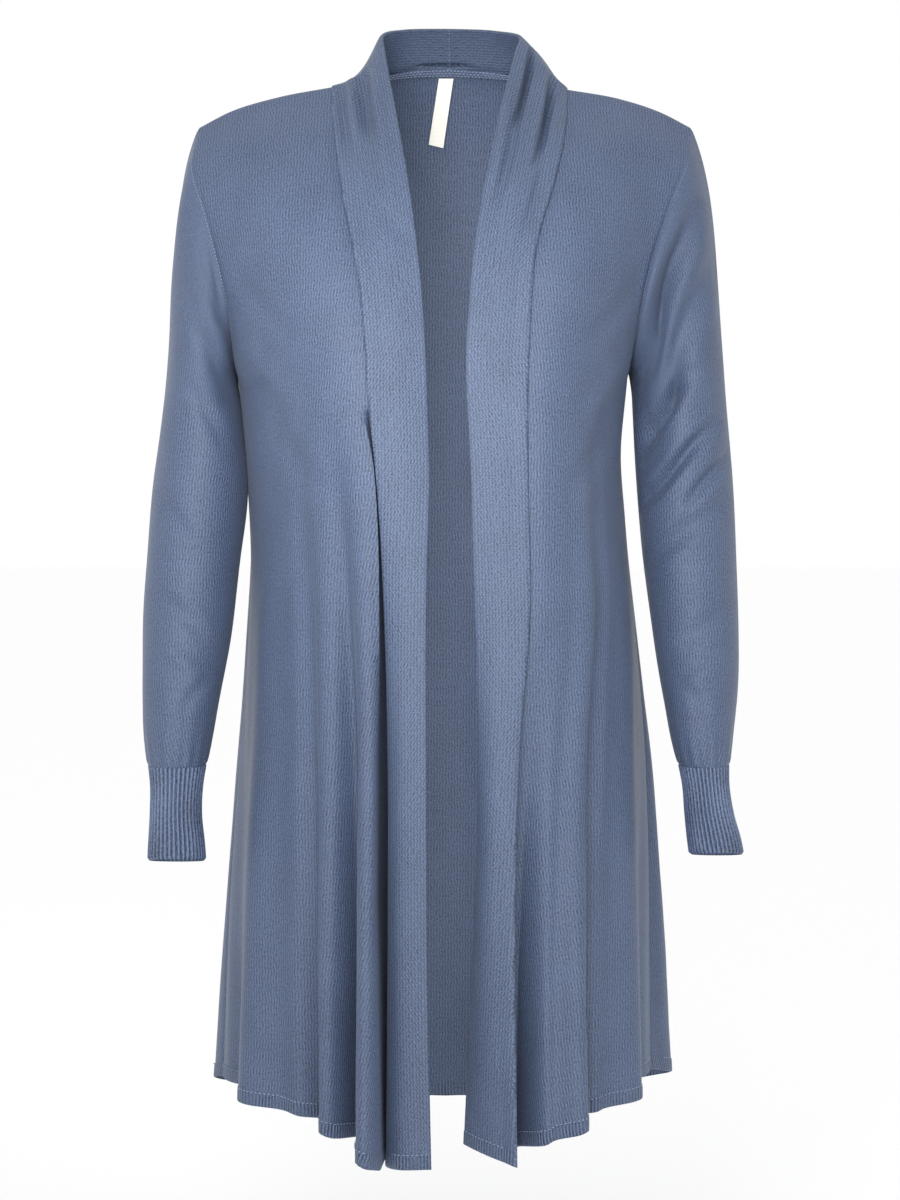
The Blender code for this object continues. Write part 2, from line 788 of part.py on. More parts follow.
def neck_tape(sheets):
    """Outer and inner points of the neck tape, from the insides of the two bands at the back neck."""
    outer, inner = [], []
    for side in ("right", "left"):
        sheet = sheets["band_" + side]
        stations = range(len(LEVELS) + TAPE_FROM, len(sheet["grid"]))
        half_outer, half_inner = [], []
        for station in stations:
            share = smoothstep((station - stations[0]) / (len(stations) - 1))
            tall = TAPE_TALL_END + (TAPE_TALL_MIDDLE - TAPE_TALL_END) * share
            seam, above = sheet["grid"][station, :2]
            up = (above - seam) / np.linalg.norm(above - seam)
            out = sheet["normals"][station, 1]
            foot = seam + up * TAPE_ABOVE - out * (BAND_KNIT + SEAM_GAP)
            top = foot + up * tall - out * TAPE_STANDS_OFF * share
            half_outer.append([foot, top])
            half_inner.append([foot - out * TAPE_KNIT, top - out * TAPE_KNIT])
        if side == "left":
            half_outer, half_inner = half_outer[-2::-1], half_inner[-2::-1]
        outer += half_outer
        inner += half_inner
    return np.array(outer), np.array(inner)


def label_grids(back):
    """Outer and inner points of the label, hanging just clear of the inside of the back."""
    centre = SHOULDER_COLUMNS + NECK_COLUMNS // 2
    down = np.linspace(LABEL_FROM, LABEL_FROM + LABEL_LONG, LABEL_ROWS + 1)
    line = at_distances(back[:YOKE_ROWS, centre], down)
    rows = []
    for k, point in enumerate(line):
        share = k / LABEL_ROWS
        off = KNIT + SEAM_GAP + LABEL_OFF_TOP + (LABEL_OFF_BOTTOM - LABEL_OFF_TOP) * share
        middle = np.array([LABEL_TOP_X + LABEL_LEANS * share, point[1] - off, point[2]])
        half = np.array([LABEL_WIDE / 2, 0.0, 0.0])
        across = np.linspace(-1.0, 1.0, LABEL_COLUMNS + 1)
        rows.append([middle + half * place for place in across])
    outer = np.array(rows)
    return outer, outer - np.array([0.0, LABEL_CLOTH, 0.0])


def cuff_inside(side):
    """Inner points of a cuff, plain under the ribs."""
    rows = []
    for ring in rings_between(cuff_table(side), CUFF_ROWS):
        thin = ring._replace(half_width=ring.half_width - KNIT, half_depth=ring.half_depth - KNIT)
        rows.append(ring_points(thin, SIGN[side], 2 * CUFF_RIBS))
    return np.array(rows)


def cloth_sheets():
    """Every knitted piece: its grid of outer points, thickness, sewn edges, and how it is closed."""
    back = back_grid()
    sheets = {
        "back": {
            "grid": back,
            "knit": KNIT,
            "closed": False,
            "flip": True,
            "sewn": ("top", "start", "end"),
            "hem": "bottom",
            "flat_rings": (),
        }
    }
    for side in ("right", "left"):
        right = side == "right"
        front = front_grid(side)
        sheets["front_" + side] = {
            "grid": front,
            "knit": KNIT,
            "closed": False,
            "flip": right,
            "sewn": ("top", "start", "end"),
            "hem": "bottom",
            "flat_rings": (),
        }
        sheets["band_" + side] = {
            "grid": band_grid(side, front, back),
            "knit": BAND_KNIT,
            "closed": False,
            "flip": right,
            "sewn": ("bottom", "start"),
            "hem": "top",
            "flat_rings": (),
        }
        sheets["sleeve_" + side] = {
            "grid": sleeve_grid(side, front, back),
            "knit": KNIT,
            "closed": True,
            "flip": right,
            "sewn": ("top",),
            "hem": None,
            "flat_rings": (-1,),
        }
        sheets["cuff_" + side] = {
            "grid": cuff_grid(side),
            "knit": KNIT,
            "closed": True,
            "flip": right,
            "sewn": (),
            "hem": None,
            "flat_rings": (0, -1),
        }
    for sheet in sheets.values():
        sheet["normals"] = normals_of(sheet["grid"], sheet["closed"], sheet["flip"])
    share_seam_normals(sheets)
    for sheet in sheets.values():
        level_the_ends(sheet)
        open_the_seams(sheet)
    for side in SIGN:
        straighten_between(sheets["front_" + side])
    return sheets


def clear_scene():
    """Removes what the file starts with."""
    for thing in list(bpy.data.objects):
        bpy.data.objects.remove(thing)


def main():
    """Builds every piece into the collection of the garment."""
    clear_scene()
    collection = bpy.data.collections.new("open_front_cardigan")
    bpy.context.scene.collection.children.link(collection)
    sheets = cloth_sheets()
    for name, sheet in sheets.items():
        inner = sheet["grid"] - sheet["normals"] * sheet["knit"]
        outer = raise_the_hem(sheet) if sheet["hem"] else sheet["grid"]
        if name.startswith("cuff"):
            inner = cuff_inside(name.removeprefix("cuff_"))
        if name.startswith("band"):
            (outer, inner), collar = cut_at_the_shoulder(outer, inner)
            collar_name = name.replace("band", "collar")
            add_piece(collar_name, *collar, sheet["closed"], sheet["flip"], collection)
        add_piece(name, outer, inner, sheet["closed"], sheet["flip"], collection)
    add_piece("neck_tape", *neck_tape(sheets), False, True, collection)
    add_piece("label", *label_grids(sheets["back"]["grid"]), False, True, collection, LABEL_CREAM)


main()
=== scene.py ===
import math
from collections import namedtuple

import bpy
import numpy as np
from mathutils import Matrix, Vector


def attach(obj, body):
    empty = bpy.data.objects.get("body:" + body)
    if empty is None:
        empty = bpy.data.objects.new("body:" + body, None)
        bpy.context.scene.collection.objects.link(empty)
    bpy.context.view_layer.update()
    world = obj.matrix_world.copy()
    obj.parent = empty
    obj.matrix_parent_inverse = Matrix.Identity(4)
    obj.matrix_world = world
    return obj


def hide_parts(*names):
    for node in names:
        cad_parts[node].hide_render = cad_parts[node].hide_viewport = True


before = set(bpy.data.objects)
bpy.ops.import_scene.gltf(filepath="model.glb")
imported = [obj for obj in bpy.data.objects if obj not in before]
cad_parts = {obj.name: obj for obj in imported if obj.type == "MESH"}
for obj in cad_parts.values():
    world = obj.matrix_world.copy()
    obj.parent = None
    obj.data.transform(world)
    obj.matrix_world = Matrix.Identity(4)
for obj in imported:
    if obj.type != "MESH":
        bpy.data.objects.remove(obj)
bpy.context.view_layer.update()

# The camera stands 3 m in front of the shoulders, a little below them, and takes in the whole
# garment. The garment fills an upright frame of 900 x 1200.
camera = bpy.data.objects.new("camera", bpy.data.cameras.new("camera"))
camera.location = (0.0, -3.0, -0.258)
aim = Vector((0.0041, 0.0, -0.4195)) - camera.location
camera.rotation_euler = aim.to_track_quat("-Z", "Y").to_euler()
camera.data.sensor_fit = "VERTICAL"
camera.data.sensor_height = 36.0
camera.data.lens = 109.8
bpy.context.collection.objects.link(camera)
bpy.context.scene.camera = camera


# The studio: a white room with a pale floor well below the hem. A soft key light stands high in front
# and to the left, aimed at the chest, so that both sleeves fall off into shade. A weak fill stands low
# in front, and a narrow one inside lights the back panel as the open front shows it.
def linear(hex_colour):
    """An sRGB hex colour as linear RGBA."""
    parts = [int(hex_colour[i : i + 2], 16) / 255 for i in (1, 3, 5)]
    return tuple(c / 12.92 if c <= 0.04045 else ((c + 0.055) / 1.055) ** 2.4 for c in parts) + (1.0,)


def feed(tree, made, inputs):
    """Sets each input of a node, by name or number, to a value or to the socket that feeds it."""
    for key, value in inputs.items():
        if isinstance(value, bpy.types.NodeSocket):
            tree.links.new(value, made.inputs[key])
        else:
            made.inputs[key].default_value = value


def node(tree, kind, settings=None, inputs=None):
    """Adds a node with its settings and its inputs."""
    made = tree.nodes.new(kind)
    for key, value in (settings or {}).items():
        setattr(made, key, value)
    feed(tree, made, inputs or {})
    return made


world = bpy.data.worlds.new("white_room")
world.use_nodes = True
white = {"Color": linear("#ffffff"), "Strength": 1.0}
feed(world.node_tree, world.node_tree.nodes["Background"], white)
bpy.context.scene.world = world
bpy.context.scene.view_settings.view_transform = "Standard"

FLOOR_Z = -1.02
FLOOR_REACH = 14.0
floor_mesh = bpy.data.meshes.new("floor")
corners = [(-FLOOR_REACH, -FLOOR_REACH), (FLOOR_REACH, -FLOOR_REACH)]
corners += [(FLOOR_REACH, FLOOR_REACH), (-FLOOR_REACH, FLOOR_REACH)]
floor_mesh.from_pydata([(x, y, FLOOR_Z) for x, y in corners], [], [(0, 1, 2, 3)])
floor = bpy.data.objects.new("floor", floor_mesh)
bpy.context.collection.objects.link(floor)
paper = bpy.data.materials.new("white studio paper")
paper.use_nodes = True
matt = {"Base Color": linear("#fdfdfd"), "Roughness": 0.9}
feed(paper.node_tree, paper.node_tree.nodes["Principled BSDF"], matt)
floor_mesh.materials.append(paper)

Light = namedtuple("Light", "name x y z at_x at_y at_z wide tall spread watts")
LIGHTS = (
    Light("key_light", -0.2, -1.0, -0.06, -0.03, -0.14, -0.21, 0.5, 0.5, 60, 1.6),
    Light("fill_light", 0.15, -2.4, -0.7, 0.02, -0.1, -0.98, 1.2, 0.5, 50, 2.5),
    Light("inside_light", 0.005, -0.02, -0.43, 0.005, 0.2, -0.43, 0.1, 0.72, 180, 0.45),
)
for light in LIGHTS:
    lamp = bpy.data.objects.new(light.name, bpy.data.lights.new(light.name, "AREA"))
    lamp.data.shape = "RECTANGLE"
    lamp.data.size = light.wide
    lamp.data.size_y = light.tall
    lamp.data.spread = math.radians(light.spread)
    lamp.data.energy = light.watts
    lamp.visible_camera = False
    lamp.location = (light.x, light.y, light.z)
    aim = Vector((light.at_x, light.at_y, light.at_z)) - lamp.location
    lamp.rotation_euler = aim.to_track_quat("-Z", "Y").to_euler()
    bpy.context.collection.objects.link(lamp)


# The back: one panel of fine viscose rib from the neck to a narrow turned hem, loose at the waist and
# full at the hem. It is sewn to the fronts at the shoulders and sides, and to the sleeves.
# Tables are in millimetres, with their values in the order of their named tuple. A level counts the
# rows of cloth down: 0 shoulder, 1 underarm, 2 hem.
MM = 0.001
KNIT = 1.6
CHEST_Z = -222.0
HEM_TALL = 11.0
HEM_RISE = 0.7
HEM_STEP = 1.2
SEAM_HOLDS = 12.0
FOLD_GROWS = 1.15
SEAM_PUFF = 0.7
PUFF_REACH = 3.0
YOKE_ROWS = 72
BODY_TALL = 586.0
ROW_STEP = 3.3
CLOSED_JUMP = 40.0
SHARP_ANGLE = 60
HEM_ROWS = (14.0, 12.4, 11.4, 10.6, 9.4, 7.0, 4.5, 2.4, 1.3, 0.7, 0.3, 0.1, 0.0)
SHOULDER_COLUMNS = 32
NECK_COLUMNS = 60
SIGN = {"right": -1.0, "left": 1.0}

Point = namedtuple("Point", "x y z")
Fold = namedtuple("Fold", "place half_width height start_z")
Back = namedtuple("Back", "level y z reach out_x out_y")
Crease = namedtuple("Crease", "x0 z0 x1 z1 half_width height bow")


def rows_of(kind, *rows):
    """Rows of values as named tuples of one kind."""
    return tuple(kind(*row) for row in rows)


BACK_NECK = rows_of(
    Point,
    (-91.5, 0, -1), (-75, 40, 6), (-48, 62, 10), (3, 74, 14), (54, 62, 10), (82, 40, 5), (99, 0, -3),
)
SHOULDER = {
    "right": rows_of(
        Point,
        (-91.5, 0, -1), (-137, 1, -9.5), (-175, 1, -21), (-200, 0, -34),
    ),
    "left": rows_of(
        Point,
        (99, 0, -3), (142, 1, -10.5), (177, 1, -22), (200, 0, -34),
    ),
}
ARMHOLE_BACK = {
    "right": rows_of(
        Point,
        (-200, 0, -34), (-201, 25, -70), (-193, 41, -110), (-183, 46, -152), (-175, 38, -200),
        (-169, 8, -232),
    ),
    "left": rows_of(
        Point,
        (200, 0, -34), (199, 25, -70), (188, 41, -110), (174, 46, -152), (160, 36, -200), (149, 4, -228),
    ),
}
SIDE_SEAM = {
    "right": rows_of(
        Point,
        (-169, 8, -232), (-162, 12, -306), (-159, 14, -370), (-163, 18, -470), (-171, 24, -570),
        (-178, 30, -665), (-185, 36, -820),
    ),
    "left": rows_of(
        Point,
        (149, 4, -228), (143.5, 10, -288), (147, 12, -350), (156, 16, -440), (165, 22, -545), (169, 28, -650),
        (171, 36, -814),
    ),
}
BACK_ROWS = rows_of(
    Back,
    (0.0, 74, 14, 60, -50, 30), (0.25, 93, -45, 72, -34, 34), (0.5, 103, -105, 80, -18, 34),
    (0.75, 106, -165, 84, -8, 38), (1.0, 104, -225, 86, 2, 50), (1.25, 101, -380, 86, 4, 50),
    (1.6, 116, -600, 92, 18, 54), (2.0, 138, -856, 100, 46, 58),
)
BACK_FOLDS = {
    "right": rows_of(
        Fold,
        (62, 42, 15, -330), (118, 40, -17, -300), (172, 38, 16, -330),
    ),
    "left": rows_of(
        Fold,
        (48, 40, -10, -380), (100, 40, 18, -320), (158, 40, -16, -300), (205, 30, 10, -360),
    ),
}
# Small creases seen from behind, each from one point to another in x and z.
BACK_CREASES = rows_of(
    Crease,
    (150, -120, 96, -250, 16, -3.2, 6), (132, -150, 70, -330, 14, 2.2, 8),
    (-152, -130, -104, -270, 15, -3.0, -7), (-128, -160, -84, -300, 13, 2.0, -4),
    (20, -330, 34, -640, 22, -2.6, 5), (-40, -390, -52, -800, 20, 3.0, -6), (80, -420, 92, -760, 17, 2.4, 4),
    (-110, -440, -128, -700, 15, -2.6, -3), (-60, -40, -20, -84, 14, -1.6, 3),
    (70, -36, 26, -80, 12, -1.4, -3),
)


def through(knots, values, at):
    """Smooth curve through the values at the knots, read at one place or many."""
    knots = np.asarray(knots, float)
    values = np.asarray(values, float)
    at = np.asarray(at, float)
    slopes = np.gradient(values, knots, axis=0)
    i = np.clip(np.searchsorted(knots, at) - 1, 0, len(knots) - 2)
    span = knots[i + 1] - knots[i]
    t = (at - knots[i]) / span
    if values.ndim > 1:
        t, span = t[..., None], span[..., None]
    start = (1 + 2 * t) * (1 - t) ** 2 * values[i] + t * (1 - t) ** 2 * span * slopes[i]
    end = t * t * (3 - 2 * t) * values[i + 1] + t * t * (t - 1) * span * slopes[i + 1]
    return start + end


def row_at(table, level):
    """The row of a table of levels at any level between its own."""
    levels = [row.level for row in table]
    return type(table[0])(*through(levels, table, level))


def lengths_along(points):
    """The distance of each point from the first, along the line through them."""
    steps = np.linalg.norm(np.diff(points, axis=0), axis=1)
    return np.concatenate([[0.0], np.cumsum(steps)])


def dense(points, per_span=24):
    """Many points on the smooth curve through the given ones."""
    points = np.asarray(points, float)
    knots = lengths_along(points)
    return through(knots, points, np.linspace(0.0, knots[-1], per_span * (len(points) - 1) + 1))


def at_distances(line, distances):
    """Points of a line of points, at these distances along it."""
    along = lengths_along(line)
    return np.stack([np.interp(distances, along, line[:, k]) for k in range(3)], axis=1)


def evenly(points, count):
    """The smooth curve through the points, cut into equal lengths."""
    line = dense(points)
    return at_distances(line, np.linspace(0.0, lengths_along(line)[-1], count + 1))


def at_height(points, z):
    """Points of a seam, which falls all the way, at these heights."""
    line = dense(points)
    return np.stack([np.interp(-np.asarray(z), -line[:, 2], line[:, k]) for k in range(3)], axis=-1)


def bezier(start, handle_start, handle_end, end, count=96):
    """Points on a cubic curve."""
    t = np.linspace(0.0, 1.0, count + 1)[:, None]
    return (
        (1 - t) ** 3 * start
        + 3 * t * (1 - t) ** 2 * handle_start
        + 3 * t * t * (1 - t) * handle_end
        + t**3 * end
    )


def smoothstep(t):
    """0 below 0, 1 above 1, and a smooth step between."""
    t = np.clip(t, 0.0, 1.0)
    return t * t * (3 - 2 * t)


def row_levels():
    """The level of each row of cloth, closer together at the turned hem."""
    yoke = [row / YOKE_ROWS for row in range(YOKE_ROWS)]
    count = round((BODY_TALL - HEM_ROWS[0]) / ROW_STEP)
    body = [2 - (BODY_TALL + (HEM_ROWS[0] - BODY_TALL) * row / count) / BODY_TALL for row in range(count)]
    return yoke + body + [2 - height / BODY_TALL for height in HEM_ROWS]


LEVELS = row_levels()
FROM_HEM = np.array([(2 - level) * BODY_TALL for level in LEVELS])


def folded(row, places, folds, hem_z, outward, inner_holds=SEAM_HOLDS):
    """A row pushed in and out by the folds that cross it, in plan, and held by the seams at its ends."""
    ahead = np.gradient(row, axis=0)
    across = np.stack([-ahead[:, 1], ahead[:, 0], np.zeros(len(row))], axis=1) * outward
    across /= np.linalg.norm(across, axis=1)[:, None]
    push = np.zeros(len(row))
    for fold in folds:
        reach = np.clip((places - fold.place) / fold.half_width, -1.0, 1.0)
        grown = (fold.start_z - row[:, 2]) / (fold.start_z - hem_z)
        grown = np.clip(grown, 0.0, None) ** FOLD_GROWS
        push += fold.height * np.cos(reach * math.pi / 2) ** 2 * grown
    from_seam = np.minimum(places / inner_holds, (places[-1] - places) / SEAM_HOLDS)
    push *= np.sin(np.clip(from_seam, 0.0, 1.0) * math.pi / 2)
    return row + across * push[:, None]


def outer_seam(side, armhole):
    """The outer end of each row: down the armhole, then down the side seam."""
    yoke = evenly(armhole[side], YOKE_ROWS)
    top, hem = SIDE_SEAM[side][0].z, SIDE_SEAM[side][-1].z
    heights = [top + (hem - top) * (level - 1) for level in LEVELS[YOKE_ROWS:]]
    return np.concatenate([yoke[:-1], at_height(SIDE_SEAM[side], heights)])


def settle_top(grid, top):
    """Bends the rows of the yoke so that row 0 is exactly the seam given, less and less going down."""
    off = top - grid[0]
    for row in range(YOKE_ROWS):
        grid[row] += off * (1 - smoothstep(row / YOKE_ROWS))
    return grid


def back_half(side):
    """Half of the back's outer points, from the centre back to the side."""
    sign = SIGN[side]
    middle = BACK_NECK[len(BACK_NECK) // 2]
    outer = outer_seam(side, ARMHOLE_BACK)
    neck = evenly(BACK_NECK, NECK_COLUMNS)
    neck_half = neck[NECK_COLUMNS // 2 :: -1] if side == "right" else neck[NECK_COLUMNS // 2 :]
    top = np.concatenate([neck_half, evenly(SHOULDER[side], SHOULDER_COLUMNS)[1:]])
    top_shares = lengths_along(top) / lengths_along(top)[-1]
    even_shares = np.linspace(0.0, 1.0, len(top))
    rows = []
    for level, end in zip(LEVELS, outer):
        shape = row_at(BACK_ROWS, level)
        start = np.array([middle.x * (2 - level) / 2, shape.y, shape.z])
        rise = (end[2] - start[2]) / 3
        handle_start = start + np.array([sign * shape.reach, 0.0, rise * 0.2])
        handle_end = end + np.array([sign * shape.out_x, shape.out_y, -rise])
        line = bezier(start, handle_start, handle_end, end)
        blend = smoothstep(level)
        places = lengths_along(line)[-1] * (top_shares * (1 - blend) + even_shares * blend)
        row = at_distances(line, places)
        rows.append(folded(row, places, BACK_FOLDS[side], outer[-1][2], sign))
    return settle_top(np.array(rows), top)


def normals_of(grid, closed, flip):
    """Unit normals of a grid of points, pointing out of the garment."""
    down = np.gradient(grid, axis=0)
    across = np.gradient(grid, axis=1)
    if closed:
        across = (np.roll(grid, -1, axis=1) - np.roll(grid, 1, axis=1)) / 2
    normals = np.cross(down, across) * (-1.0 if flip else 1.0)
    return normals / np.linalg.norm(normals, axis=2)[:, :, None]


def creased(grid, normals, creases, facing):
    """How far each point stands out for the creases that are seen from one side of the garment."""
    out = np.zeros(grid.shape[:2])
    seen = smoothstep(normals[:, :, 1] * facing * 2.5)
    for crease in creases:
        start = np.array([crease.x0, crease.z0], float)
        line = np.array([crease.x1, crease.z1], float) - start
        length = np.linalg.norm(line)
        line /= length
        off = grid[:, :, [0, 2]] - start
        along = np.clip(off @ line / length, 0.0, 1.0)
        beside = off @ np.array([-line[1], line[0]]) - crease.bow * 4 * along * (1 - along)
        reach = np.clip(beside / crease.half_width, -1.0, 1.0)
        out += crease.height * np.cos(reach * math.pi / 2) ** 2 * np.sin(along * math.pi) ** 0.8
    return out * seen


def loose_cloth(grid, height, size, seed):
    """A faint unevenness that worn cloth has all over: a few long waves, up to a height."""
    chance = np.random.default_rng(seed)
    out = np.zeros(grid.shape[:2])
    for _ in range(7):
        run = chance.normal(size=3) * np.array([1.0, 1.0, 0.45]) * 2 * math.pi / size
        out += np.sin(grid @ run + chance.uniform(0, 2 * math.pi))
    return out * height / 4


def held_at(distance, reach=SEAM_HOLDS):
    """0 at a seam and 1 away from it."""
    return smoothstep(distance / reach)


def between_rows(grid):
    """Distance of each point from the first row, down its own column."""
    steps = np.linalg.norm(np.diff(grid, axis=0), axis=2)
    return np.concatenate([np.zeros((1, grid.shape[1])), np.cumsum(steps, axis=0)])


def between_columns(grid):
    """Distance of each point from the first column, along its own row."""
    return between_rows(grid.transpose(1, 0, 2)).T


def wall(name, grid, normals, out, thick, from_edge, uv, closed, flip, material, in_hem=None):
    """A closed wall of cloth. Both faces follow its creases, and its free edges are round."""
    half = thick / 2
    turned = np.clip(from_edge / half, 0.0, 1.0)
    swell = half * np.sqrt(1 - (1 - turned) ** 2)
    middle = grid + normals * (out * turned - half)[:, :, None]
    outer = middle + normals * swell[:, :, None]
    inner = middle - normals * swell[:, :, None]
    rows, columns = grid.shape[:2]
    count = rows * columns
    number = np.arange(count).reshape(rows, columns)
    beside = np.roll(number, -1, axis=1)
    if not closed:
        number, beside = number[:, :-1], number[:, 1:]
    a, b, c, d = number[:-1], beside[:-1], beside[1:], number[1:]
    faces = [
        np.stack([a, b, c, d], axis=-1).reshape(-1, 4),
        np.stack([d, c, b, a], axis=-1).reshape(-1, 4) + count,
    ]
    for first, second in ((beside[0], number[0]), (number[-1], beside[-1])):
        faces.append(np.stack([first, second, second + count, first + count], axis=-1))
    if not closed:
        left = np.arange(rows) * columns
        right = left + columns - 1
        for first, second in ((left[:-1], left[1:]), (right[1:], right[:-1])):
            faces.append(np.stack([first, second, second + count, first + count], axis=-1))
    faces = np.concatenate(faces)
    if not flip:
        faces = faces[:, ::-1]
    points = np.concatenate([outer.reshape(-1, 3), inner.reshape(-1, 3)]) * MM
    mesh = bpy.data.meshes.new(name)
    mesh.vertices.add(len(points))
    mesh.vertices.foreach_set("co", points.ravel())
    mesh.loops.add(faces.size)
    mesh.loops.foreach_set("vertex_index", faces.ravel())
    mesh.polygons.add(len(faces))
    mesh.polygons.foreach_set("loop_start", np.arange(0, faces.size, 4))
    mesh.update(calc_edges=True)
    layer = mesh.uv_layers.new(name="cloth")
    both = np.concatenate([uv.reshape(-1, 2), uv.reshape(-1, 2)])[faces.ravel()]
    if closed:
        ahead = both.reshape(-1, 4, 2)
        jump = ahead[:, :, 0].max(axis=1) - ahead[:, :, 0].min(axis=1) > CLOSED_JUMP
        low = jump[:, None] & (ahead[:, :, 0] < ahead[:, :, 0].mean(axis=1)[:, None])
        ahead[:, :, 0] = np.where(low, ahead[:, :, 0] + np.ptp(uv[:, :, 0]) + 2.0, ahead[:, :, 0])
    layer.data.foreach_set("uv", both.ravel())
    if in_hem is not None:
        shares = np.broadcast_to(in_hem, (rows, columns)).ravel()
        mesh.attributes.new("in_hem", "FLOAT", "POINT").data.foreach_set("value", np.tile(shares, 2))
    mesh.shade_smooth()
    mesh.set_sharp_from_angle(angle=math.radians(SHARP_ANGLE))
    mesh.validate()
    mesh.materials.append(material)
    piece = bpy.data.objects.new(name, mesh)
    bpy.context.collection.objects.link(piece)
    return piece


# Fine viscose rib: soft and heathered, with a low silky gleam. Its real wales are 1.2 mm apart, too
# fine to show, so they are drawn twice as far apart. The legs of the stitches slant to the left and
# to the right, so the wales read as long slanting grains, under a fleck of lighter and darker yarn.
# The turned hem is drawn in to a closer, sharper rib. The colour is painted lighter on the raised
# wales, stitch legs and hem rib and darker in their dips: painted shade of that relief.
WALE = 2.5
HEM_RIB = 2.8
FULL_TURN = 2 * math.pi
KNIT_LOOK = {
    "Roughness": 0.52,
    "IOR": 1.46,
    "Specular IOR Level": 0.35,
    "Sheen Weight": 0.12,
    "Sheen Roughness": 0.4,
    "Sheen Tint": linear("#d5def0"),
}


def knit_finish(
    name, dark, light, rib_pitch=WALE, painted_rib_shade=0.26, grain_long=11.0, painted_grain_shade=0.26,
    fleck=(0.7, 0.55), waver_by=0.9,
):
    """A knit material on a UV map in millimetres. The flecks are given per millimetre, across and down."""
    material = bpy.data.materials.new(name)
    material.use_nodes = True
    tree = material.node_tree
    place = node(tree, "ShaderNodeUVMap", {"uv_map": "cloth"}).outputs["UV"]
    split = node(tree, "ShaderNodeSeparateXYZ", inputs={"Vector": place}).outputs
    hem = node(tree, "ShaderNodeAttribute", {"attribute_type": "GEOMETRY", "attribute_name": "in_hem"})
    made = {"u": split["X"], "v": split["Y"], "in hem": hem.outputs["Fac"]}
    # Noises about zero: their scales across the cloth and down it, their detail and their roughness.
    for key, scale_across, scale_down, detail, roughness in (
        ("waver", 0.11, 0.05, 2.0, 0.5),
        ("drift", 0.09, 0.11, 2.0, 0.5),
        ("lean", 0.05, 0.02, 2.0, 0.5),
        ("yarn", *fleck, 4.0, 0.8),
        ("cloud", 0.03, 0.02, 3.0, 0.6),
    ):
        scaled = {"Vector": place, "Scale": (scale_across, scale_down, 1.0)}
        vector = node(tree, "ShaderNodeMapping", inputs=scaled).outputs["Vector"]
        grown = {"Vector": vector, "Scale": 1.0, "Detail": detail, "Roughness": roughness}
        noise = node(tree, "ShaderNodeTexNoise", {"noise_dimensions": "2D"}, grown).outputs["Fac"]
        made[key] = node(tree, "ShaderNodeMath", {"operation": "SUBTRACT"}, {0: noise, 1: 0.5}).outputs[0]
    # Sums: a name, what is done, and the numbers or earlier results that it is done to. The legs of
    # the stitches lean right where more right is 1 and left where it is 0.
    for key, operation, *parts in (
        ("across", "MULTIPLY_ADD", "waver", waver_by, "u"),
        ("down", "MULTIPLY_ADD", "drift", 3.0, "v"),
        ("slant", "DIVIDE", "down", grain_long),
        ("wales", "DIVIDE", "across", WALE),
        ("right leg", "MULTIPLY_ADD", "across", 1 / WALE, "slant"),
        ("right leg", "MULTIPLY", "right leg", FULL_TURN),
        ("right leg", "SINE", "right leg"),
        ("left leg", "SUBTRACT", "wales", "slant"),
        ("left leg", "MULTIPLY", "left leg", FULL_TURN),
        ("left leg", "SINE", "left leg"),
        ("more right", "MULTIPLY_ADD", "lean", 2.4, 0.6),
        ("more right", "MAXIMUM", "more right", 0.0),
        ("more right", "MINIMUM", "more right", 1.0),
        ("more left", "SUBTRACT", 1.0, "more right"),
        ("stitch", "MULTIPLY", "left leg", "more left"),
        ("stitch", "MULTIPLY_ADD", "right leg", "more right", "stitch"),
        ("rib", "MULTIPLY_ADD", "across", FULL_TURN / rib_pitch, -FULL_TURN / 4),
        ("rib", "SINE", "rib"),
        ("hem rib", "MULTIPLY_ADD", "across", FULL_TURN / HEM_RIB, -FULL_TURN / 4),
        ("hem rib", "SINE", "hem rib"),
        ("hem rib", "MULTIPLY", "hem rib", "in hem"),
        # The tone: the yarn fleck and the cloud are the yarn's own colour. The rib, stitch and hem rib terms
        # are painted shade, darker in the dips of their bump and lighter on its tops.
        ("tone", "MULTIPLY_ADD", "yarn", 1.7, 0.5),
        ("tone", "MULTIPLY_ADD", "rib", painted_rib_shade / 2, "tone"),
        ("tone", "MULTIPLY_ADD", "stitch", painted_grain_shade / 2, "tone"),
        ("tone", "MULTIPLY_ADD", "cloud", 0.18, "tone"),
        ("tone", "MULTIPLY_ADD", "hem rib", 0.2, "tone"),
        ("height", "MULTIPLY_ADD", "rib", 0.3, "yarn"),
        ("height", "MULTIPLY_ADD", "stitch", 0.35, "height"),
        ("height", "MULTIPLY_ADD", "hem rib", 1.6, "height"),
    ):
        fed = {slot: made.get(part, part) for slot, part in enumerate(parts)}
        made[key] = node(tree, "ShaderNodeMath", {"operation": operation}, fed).outputs[0]
    ramp = node(tree, "ShaderNodeValToRGB", inputs={"Fac": made["tone"]})
    ramp.color_ramp.elements[0].color = linear(dark)
    ramp.color_ramp.elements[1].color = linear(light)
    raised = {"Strength": 0.7, "Distance": 0.27 * MM, "Height": made["height"]}
    bump = node(tree, "ShaderNodeBump", inputs=raised)
    shader = tree.nodes["Principled BSDF"]
    feed(tree, shader, {"Base Color": ramp.outputs["Color"], "Normal": bump.outputs["Normal"], **KNIT_LOOK})
    return material


rib_knit = knit_finish("fine viscose rib knit", "#202939", "#606f8d")

